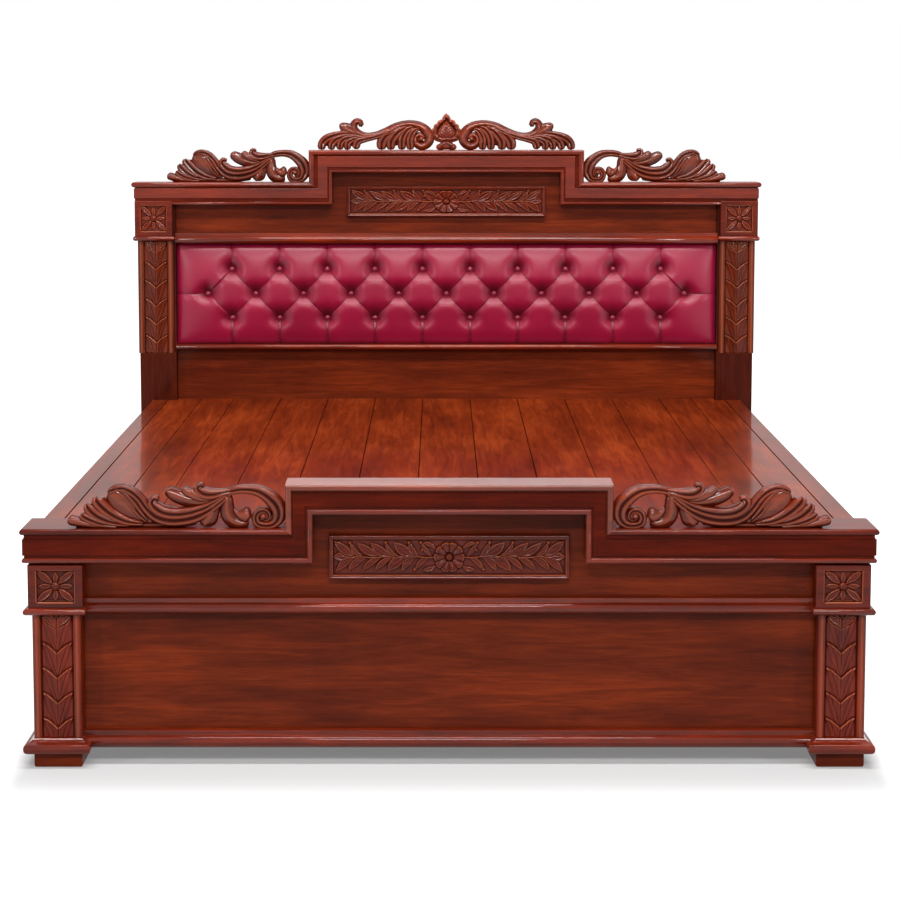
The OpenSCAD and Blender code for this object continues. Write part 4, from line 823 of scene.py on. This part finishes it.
def leaf_shape(points, centre, bulge, thick, shift, hollow, rings=20):
    """Closed leaf from an outline: rings of points from the centre out, domed to the front and the back.

    Its painted shade is darkest at the share `hollow` of the way out, and it has a painted highlight along its edge.
    """
    outline = spline(points, 180)[0][:-1, :2]
    n = len(outline)
    verts, painted_shading = [], []
    for sign in (1, -1):
        for k in range(1, rings + 1):
            q = k / rings
            ring = centre + (outline - centre) * q
            y = -sign * thick / 2 * bulge(q, ring) + shift
            verts.append(np.column_stack([ring[:, 0], y * np.ones(n), ring[:, 1]]))
            painted_shading.append(np.full(n, 0.9 * bell(q - hollow, 0.12) - 0.6 * bell(q - 0.95, 0.05)))
    peak = float(np.ravel(bulge(0.01, centre[None] * 1.0))[0]) * thick / 2
    for y in (shift - peak, shift + peak):
        verts.append([[centre[0], y, centre[1]]])
    half, top = rings * n, 2 * rings * n
    faces = [q for start in (0, half) for k in range(rings - 1) for q in band(start + k * n, start + (k + 1) * n, n)]
    faces += band(half - n, top - n, n) + fan(top, 0, n) + fan(top + 1, half, n)
    return np.vstack(verts), faces, np.concatenate([*painted_shading, [0, 0]])


def mirrored(points):
    """Outline that closes round the middle line, from its right half."""
    right = [(x, z, 1.0) for x, z in points]
    left = [(-x, z, 1.0) for x, z in points[-2:0:-1]]
    return right + left + [right[0]]


def falls_off(q, power):
    """Rounds a leaf down to its outline."""
    return math.sqrt(1 - min(q, 0.995) ** power)


def rimmed_leaf(q, ring):
    """Outer leaf: lobed rim round a deep hollow, in which the inner leaf stands."""
    lobes = 0.1 * np.cos(np.arctan2(ring[:, 1] - 0.07, ring[:, 0]) * 13) * q**2
    return (0.4 + 0.6 * bell(q - 0.78, 0.16) + lobes) * falls_off(q, 12)


def veined_leaf(q, ring):
    """Inner leaf: a keel and slanting veins."""
    keel = 0.12 * bell(ring[:, 0], 0.0013)
    veins = 0.05 * np.cos((ring[:, 1] - np.abs(ring[:, 0]) * 0.9) * 2 * np.pi / 0.0105) * min(1.0, 2 * q)
    return (1 - 0.45 * q**2 + keel + veins) * falls_off(q, 10)


def plain_dome(q, ring):
    return (1 - 0.5 * q**3) * falls_off(q, 10)


# Right half of each outline: mm from the middle, and height, where 0.9 is the top of the finial
FINIAL_LEAF = mirrored([(0, 0.9), (7, 0.86), (13, 0.795), (15, 0.755), (21, 0.745), (29, 0.7), (31, 0.655),
    (37, 0.64), (42, 0.585), (42.5, 0.545), (46, 0.52), (48.5, 0.45), (46.5, 0.405), (48, 0.37), (46, 0.31),
    (41, 0.275), (37, 0.225), (29, 0.2), (18, 0.18), (8, 0.19), (0, 0.2)])
FINIAL_HEART = mirrored([(0, 0.72), (4, 0.68), (7, 0.65), (11, 0.63), (13.5, 0.585), (18, 0.565), (20.5, 0.515),
    (24.5, 0.49), (25.5, 0.44), (28, 0.405), (26, 0.35), (20, 0.3), (12, 0.25), (6, 0.235), (0, 0.245)])
FINIAL_FOOT = mirrored([(0, 0.25), (7, 0.225), (15, 0.2), (22, 0.165), (29, 0.135), (33, 0.1), (34, 0.06),
    (31.5, 0.02), (26, 0.0), (14, 0.0), (0, 0.01)])
FINIAL_LEAFLET = mirrored([(0, 0.21), (6, 0.165), (10, 0.11), (11, 0.06), (8, 0.02), (0, 0.005)])


# Outline, thickness, shift to the back, height of the middle, form, and the share of the way out where its painted
# shade is darkest
FINIAL = ((FINIAL_LEAF, 0.03, 0.0, 0.5, rimmed_leaf, 0.55), (FINIAL_HEART, 0.022, -0.004, 0.45, veined_leaf, 1.2),
          (FINIAL_FOOT, 0.026, 0.001, 0.09, plain_dome, 0.45), (FINIAL_LEAFLET, 0.02, -0.005, 0.1, plain_dome, 1.2))


def make_finial():
    lo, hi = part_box("crest_finial")
    scale = (hi.z - lo.z) / 0.9
    parts = []
    for outline, thick, shift, centre, bulge, hollow in FINIAL:
        points = [(x * MM, z * scale, w) for x, z, w in outline]
        v, f, c = leaf_shape(points, np.array([0, centre * scale]), bulge, thick, shift, hollow)
        parts.append((v + (0, (lo.y + hi.y) / 2, lo.z), f, c))
    carved_object("carved_finial", parts, "crest_finial")


make_finial()

# ------ leather pad and its buttons

# Steps between the buttons across and up, and how many the middle row has
TUFT_X, TUFT_Z, TUFT_N = 0.1585, 0.081, 11
# Heights of the leather: its edge over the backing, its crown over the edge, and the depth of a pit and of a fold
PAD_EDGE, PAD_CROWN, PIT, FOLD = 0.015, 0.036, 0.031, 0.004
BUTTON_RADIUS, BUTTON_RISE, BUTTON_RINGS, BUTTON_ROUND = 0.0095, 0.0075, 7, 24
pad_lo, pad_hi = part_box("leather_pad")
PAD_AT = ((pad_lo.x + pad_hi.x) / 2, pad_hi.y, (pad_lo.z + pad_hi.z) / 2)
PAD_W, PAD_H = pad_hi.x - pad_lo.x, pad_hi.z - pad_lo.z


def tuft_places():
    for row in (-1, 0, 1):
        n = TUFT_N - abs(row)
        for i in range(n):
            yield (i - (n - 1) / 2) * TUFT_X, row * TUFT_Z


def folds(x, z, fold):
    """The folds between the buttons at x and z from the pad's middle: fold(d) at the distance d from a fold."""
    a, b = x / TUFT_X + z / TUFT_Z / 2, x / TUFT_X - z / TUFT_Z / 2
    pitch = TUFT_X * TUFT_Z * 2 / math.hypot(TUFT_X, TUFT_Z * 2)
    half = TUFT_X * (TUFT_N - 1) / 2

    def off(q, unit):
        return np.abs(q - np.round(q)) * unit

    def step(d):
        return np.clip(d / 0.008 + 0.5, 0, 1)

    # Diagonal folds run from button to button, straight ones from the outer buttons to the edges
    reached = step(TUFT_Z - np.abs(z)) * step(half - TUFT_X * np.abs(z) / TUFT_Z / 2 - np.abs(x))
    cut = reached * np.maximum(fold(off(a, pitch)), fold(off(b, pitch)))
    across = off(x / TUFT_X + 0.5, TUFT_X)
    double = np.where(z < 0, np.abs(across - 0.0026), across)
    cut = np.maximum(cut, step(np.abs(z) - TUFT_Z) * (np.abs(x) < half) * fold(double))
    out = np.abs(x) - half
    return np.maximum(cut, step(out) * fold(np.abs(z)) * np.clip(1.5 - out / 0.1, 0, 1))


def soft_fold(d):
    """A narrow crease in a wide dip."""
    return 0.8 * np.exp(-((d / 0.0024) ** 1.3)) + 1.1 * bell(d, 0.014)


# Profile of the painted shade line along a fold
def crease(d):
    return bell(d, 0.002)


def pad_height(x, z):
    """Height of the leather over the backing, in metres, at x and z from the pad's middle."""
    pit = np.zeros(x.shape)
    for tx, tz in tuft_places():
        # The leather sags over a button, so its pit is wider above than below: a wide dip with a narrow middle
        r = np.hypot(x - tx, (z - tz) * np.where(z > tz, 0.92, 1.25))
        pit += 0.75 * bell(r, 0.03) + 0.25 * bell(r, 0.012)
    qx, qz = 2 * x / PAD_W, 2 * z / PAD_H
    fall = np.sqrt(np.maximum(0, 1 - np.abs(qx) ** 16))
    fall *= np.maximum(0, 1 - np.abs(qz) ** np.where(qz > 0, 2.5, 1.7)) ** 0.55
    return PAD_EDGE + PAD_CROWN * fall - PIT * pit - FOLD * folds(x, z, soft_fold) * (1 - 0.6 * np.clip(pit, 0, 1))


def leather_material(name, colour, shade):
    n = Nodes(name)
    base = n.place()
    fine = n.noise(base, 260, 2)
    tone = n.mix(n.spread(n.noise(base, 5, 3), 0.3, 0.7), srgb(*colour), srgb(*shade))
    # Painted shade in the pits, above the buttons and along the folds
    tone = n.mix(n.attribute("painted_shading"), tone, n.times(tone, (0.3, 0.1, 0.14)))
    cell = n.add("ShaderNodeTexVoronoi", feature="DISTANCE_TO_EDGE")
    n.fill(cell, {"Vector": base, "Scale": 420})
    pores = n.math("ADD", n.spread(cell.outputs[0], 0, 0.25), fine)
    n.surface({"Base Color": tone, "Roughness": n.spread(fine, 0.3, 0.7, 0.36, 0.44), "Specular IOR Level": 0.05,
               "Coat Weight": 1.0, "Coat Roughness": 0.34, "Coat IOR": 1.38, "Sheen Weight": 0.15,
               "Sheen Roughness": 0.4, "Sheen Tint": (1.0, 0.4, 0.7, 1), "Normal": n.bump(pores, 0.12, 0.0006)})
    return n.owner


LEATHER = leather_material("crimson_leather", (146, 10, 52), (131, 8, 44))
BUTTON_LEATHER = leather_material("crimson_button", (140, 30, 54), (124, 22, 44))


def make_pad():
    xs, zs = grid_lines(PAD_W / 2, 0.0018), grid_lines(PAD_H / 2, 0.0018)
    X, Z = np.meshgrid(xs, zs)
    height = pad_height(X, Z)
    verts, faces = grid_mesh(xs, zs, height, 0)
    # Painted shade: in the hollows, a painted shadow pool above each button, and a painted line along each fold
    shade = hollows(height, 0.006, 7)
    for tx, tz in tuft_places():
        shade = np.maximum(shade, 0.85 * bell(X - tx, 0.025) * bell(Z - tz - 0.012, 0.021))
    dark = np.zeros(len(verts))
    dark[:height.size] = np.maximum(shade, 0.75 * folds(X, Z, crease)).ravel()
    pad = mesh_object("tufted_leather", verts + PAD_AT, faces, LEATHER, painted_shading=dark)
    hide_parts("leather_pad")


def make_buttons():
    turn = [2 * math.pi * j / BUTTON_ROUND for j in range(BUTTON_ROUND)]
    verts, faces = [], []
    for tx, tz in tuft_places():
        seat = -float(pad_height(np.array([tx]), np.array([tz]))[0])
        first = len(verts)
        verts.append((tx, seat - BUTTON_RISE - 0.001, tz))
        for k in range(1, BUTTON_RINGS + 1):
            a = k / BUTTON_RINGS * math.pi / 2
            r, y = BUTTON_RADIUS * math.sin(a), seat - 0.001 - BUTTON_RISE * math.cos(a)
            verts += [(tx + r * math.cos(t), y, tz + r * math.sin(t)) for t in turn]
        verts.append((tx, seat - 0.0004, tz))
        starts = [first + 1 + k * BUTTON_ROUND for k in range(BUTTON_RINGS)]
        faces += [q for a, b in zip(starts, starts[1:]) for q in band(a, b, BUTTON_ROUND)]
        faces += fan(first, starts[0], BUTTON_ROUND) + fan(len(verts) - 1, starts[-1], BUTTON_ROUND)
    obj = mesh_object("tuft_buttons", np.array(verts) + PAD_AT, faces, BUTTON_LEATHER)
    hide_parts("leather_buttons")


make_pad()
make_buttons()

# ------ floor, world and lamps

# Strength of the world in the bed's own light, and of the floor's glow beside the bed and far away
FILL, NEAR_GLOW, FAR_GLOW = 0.14, 0.2, 0.55
# The glow rises steeply over the first length by its share, and slowly over the second; faster beside the bed
NEAR_REACH, NEAR_SHARE, FAR_REACH = 0.3, 0.6, 6.0
SIDE_INSET, SIDE_FACTOR = 0.04, 5.0
FLOOR_HALF, FLOOR_Z = 40, -0.0005
# Name, place, target, width and height in metres, and watts
LAMPS = (
    ("front", (0, -4.6, 3.3), (0, -0.6, 0.5), (2.5, 0.3), 114),
    ("high", (0, -2.0, 4.45), (0, 1.0, 0.95), (4.6, 0.4), 195),
    ("top", (0, 0.2, 4.6), (0, 0.3, 0), (3.6, 1.2), 100),
    ("back", (0, 4.6, 3.2), (0, -0.6, 0.6), (2.6, 0.5), 55),
    ("left", (-3.8, -3.6, 2.0), (0, -0.5, 0.5), (0.2, 1.6), 45),
    ("right", (3.8, -3.6, 2.0), (0, -0.5, 0.5), (0.2, 1.6), 45))


def make_floor():
    n = Nodes("floor")
    # Distance from the bed's outline on the floor: the glow that makes the floor white is weaker near the bed, so the
    # real shadow shows and a painted shadow lies round the bed as well
    place = n.add("ShaderNodeSeparateXYZ")
    n.feed(place.inputs[0], n.place())
    over = []
    for i, edge, factor in ((0, cad_box[1].x - SIDE_INSET, SIDE_FACTOR), (1, cad_box[1].y, 1.0)):
        past = n.math("SUBTRACT", n.math("ABSOLUTE", place.outputs[i]), edge)
        over.append(n.math("MULTIPLY", n.math("MAXIMUM", past, 0.0), factor))
    away = n.math("SQRT", n.math("ADD", *[n.math("MULTIPLY", d, d) for d in over]))
    near = n.math("MULTIPLY", n.math("POWER", n.spread(away, 0.0, NEAR_REACH), 2.0), NEAR_SHARE)
    glow = n.math("ADD", near, n.spread(away, 0.0, FAR_REACH, NEAR_GLOW, FAR_GLOW))
    n.surface({"Base Color": (0.45, 0.45, 0.45, 1), "Roughness": 0.8, "Specular IOR Level": 0.0,
               "Emission Color": (1, 1, 1, 1), "Emission Strength": n.math("MULTIPLY", n.plain_rays(), glow)})
    mesh = bpy.data.meshes.new("floor")
    corners = [(x * FLOOR_HALF, y * FLOOR_HALF, 0) for x, y in ((-1, -1), (1, -1), (1, 1), (-1, 1))]
    mesh.from_pydata(corners, [], [(0, 1, 2, 3)])
    mesh.materials.append(n.owner)
    floor = link(bpy.data.objects.new("floor", mesh))
    floor.location.z = FLOOR_Z


def make_world():
    world = bpy.data.worlds.new("studio")
    bpy.context.scene.world = world
    n = Nodes(world)
    sky = n.tree.nodes["Background"]
    n.fill(sky, {"Color": (1, 1, 1, 1), "Strength": n.spread(n.plain_rays(), 0, 1, FILL, 1.0)})


def make_lamp(name, location, target, size, power):
    data = bpy.data.lights.new(name, "AREA")
    data.shape = "RECTANGLE"
    data.size, data.size_y = size
    data.energy = power
    obj = link(bpy.data.objects.new(name, data))
    obj.location = location
    obj.rotation_euler = (Vector(target) - Vector(location)).to_track_quat("-Z", "Y").to_euler()


make_floor()
make_world()
for row in LAMPS:
    make_lamp(*row)
bpy.context.scene.view_settings.view_transform = "Standard"
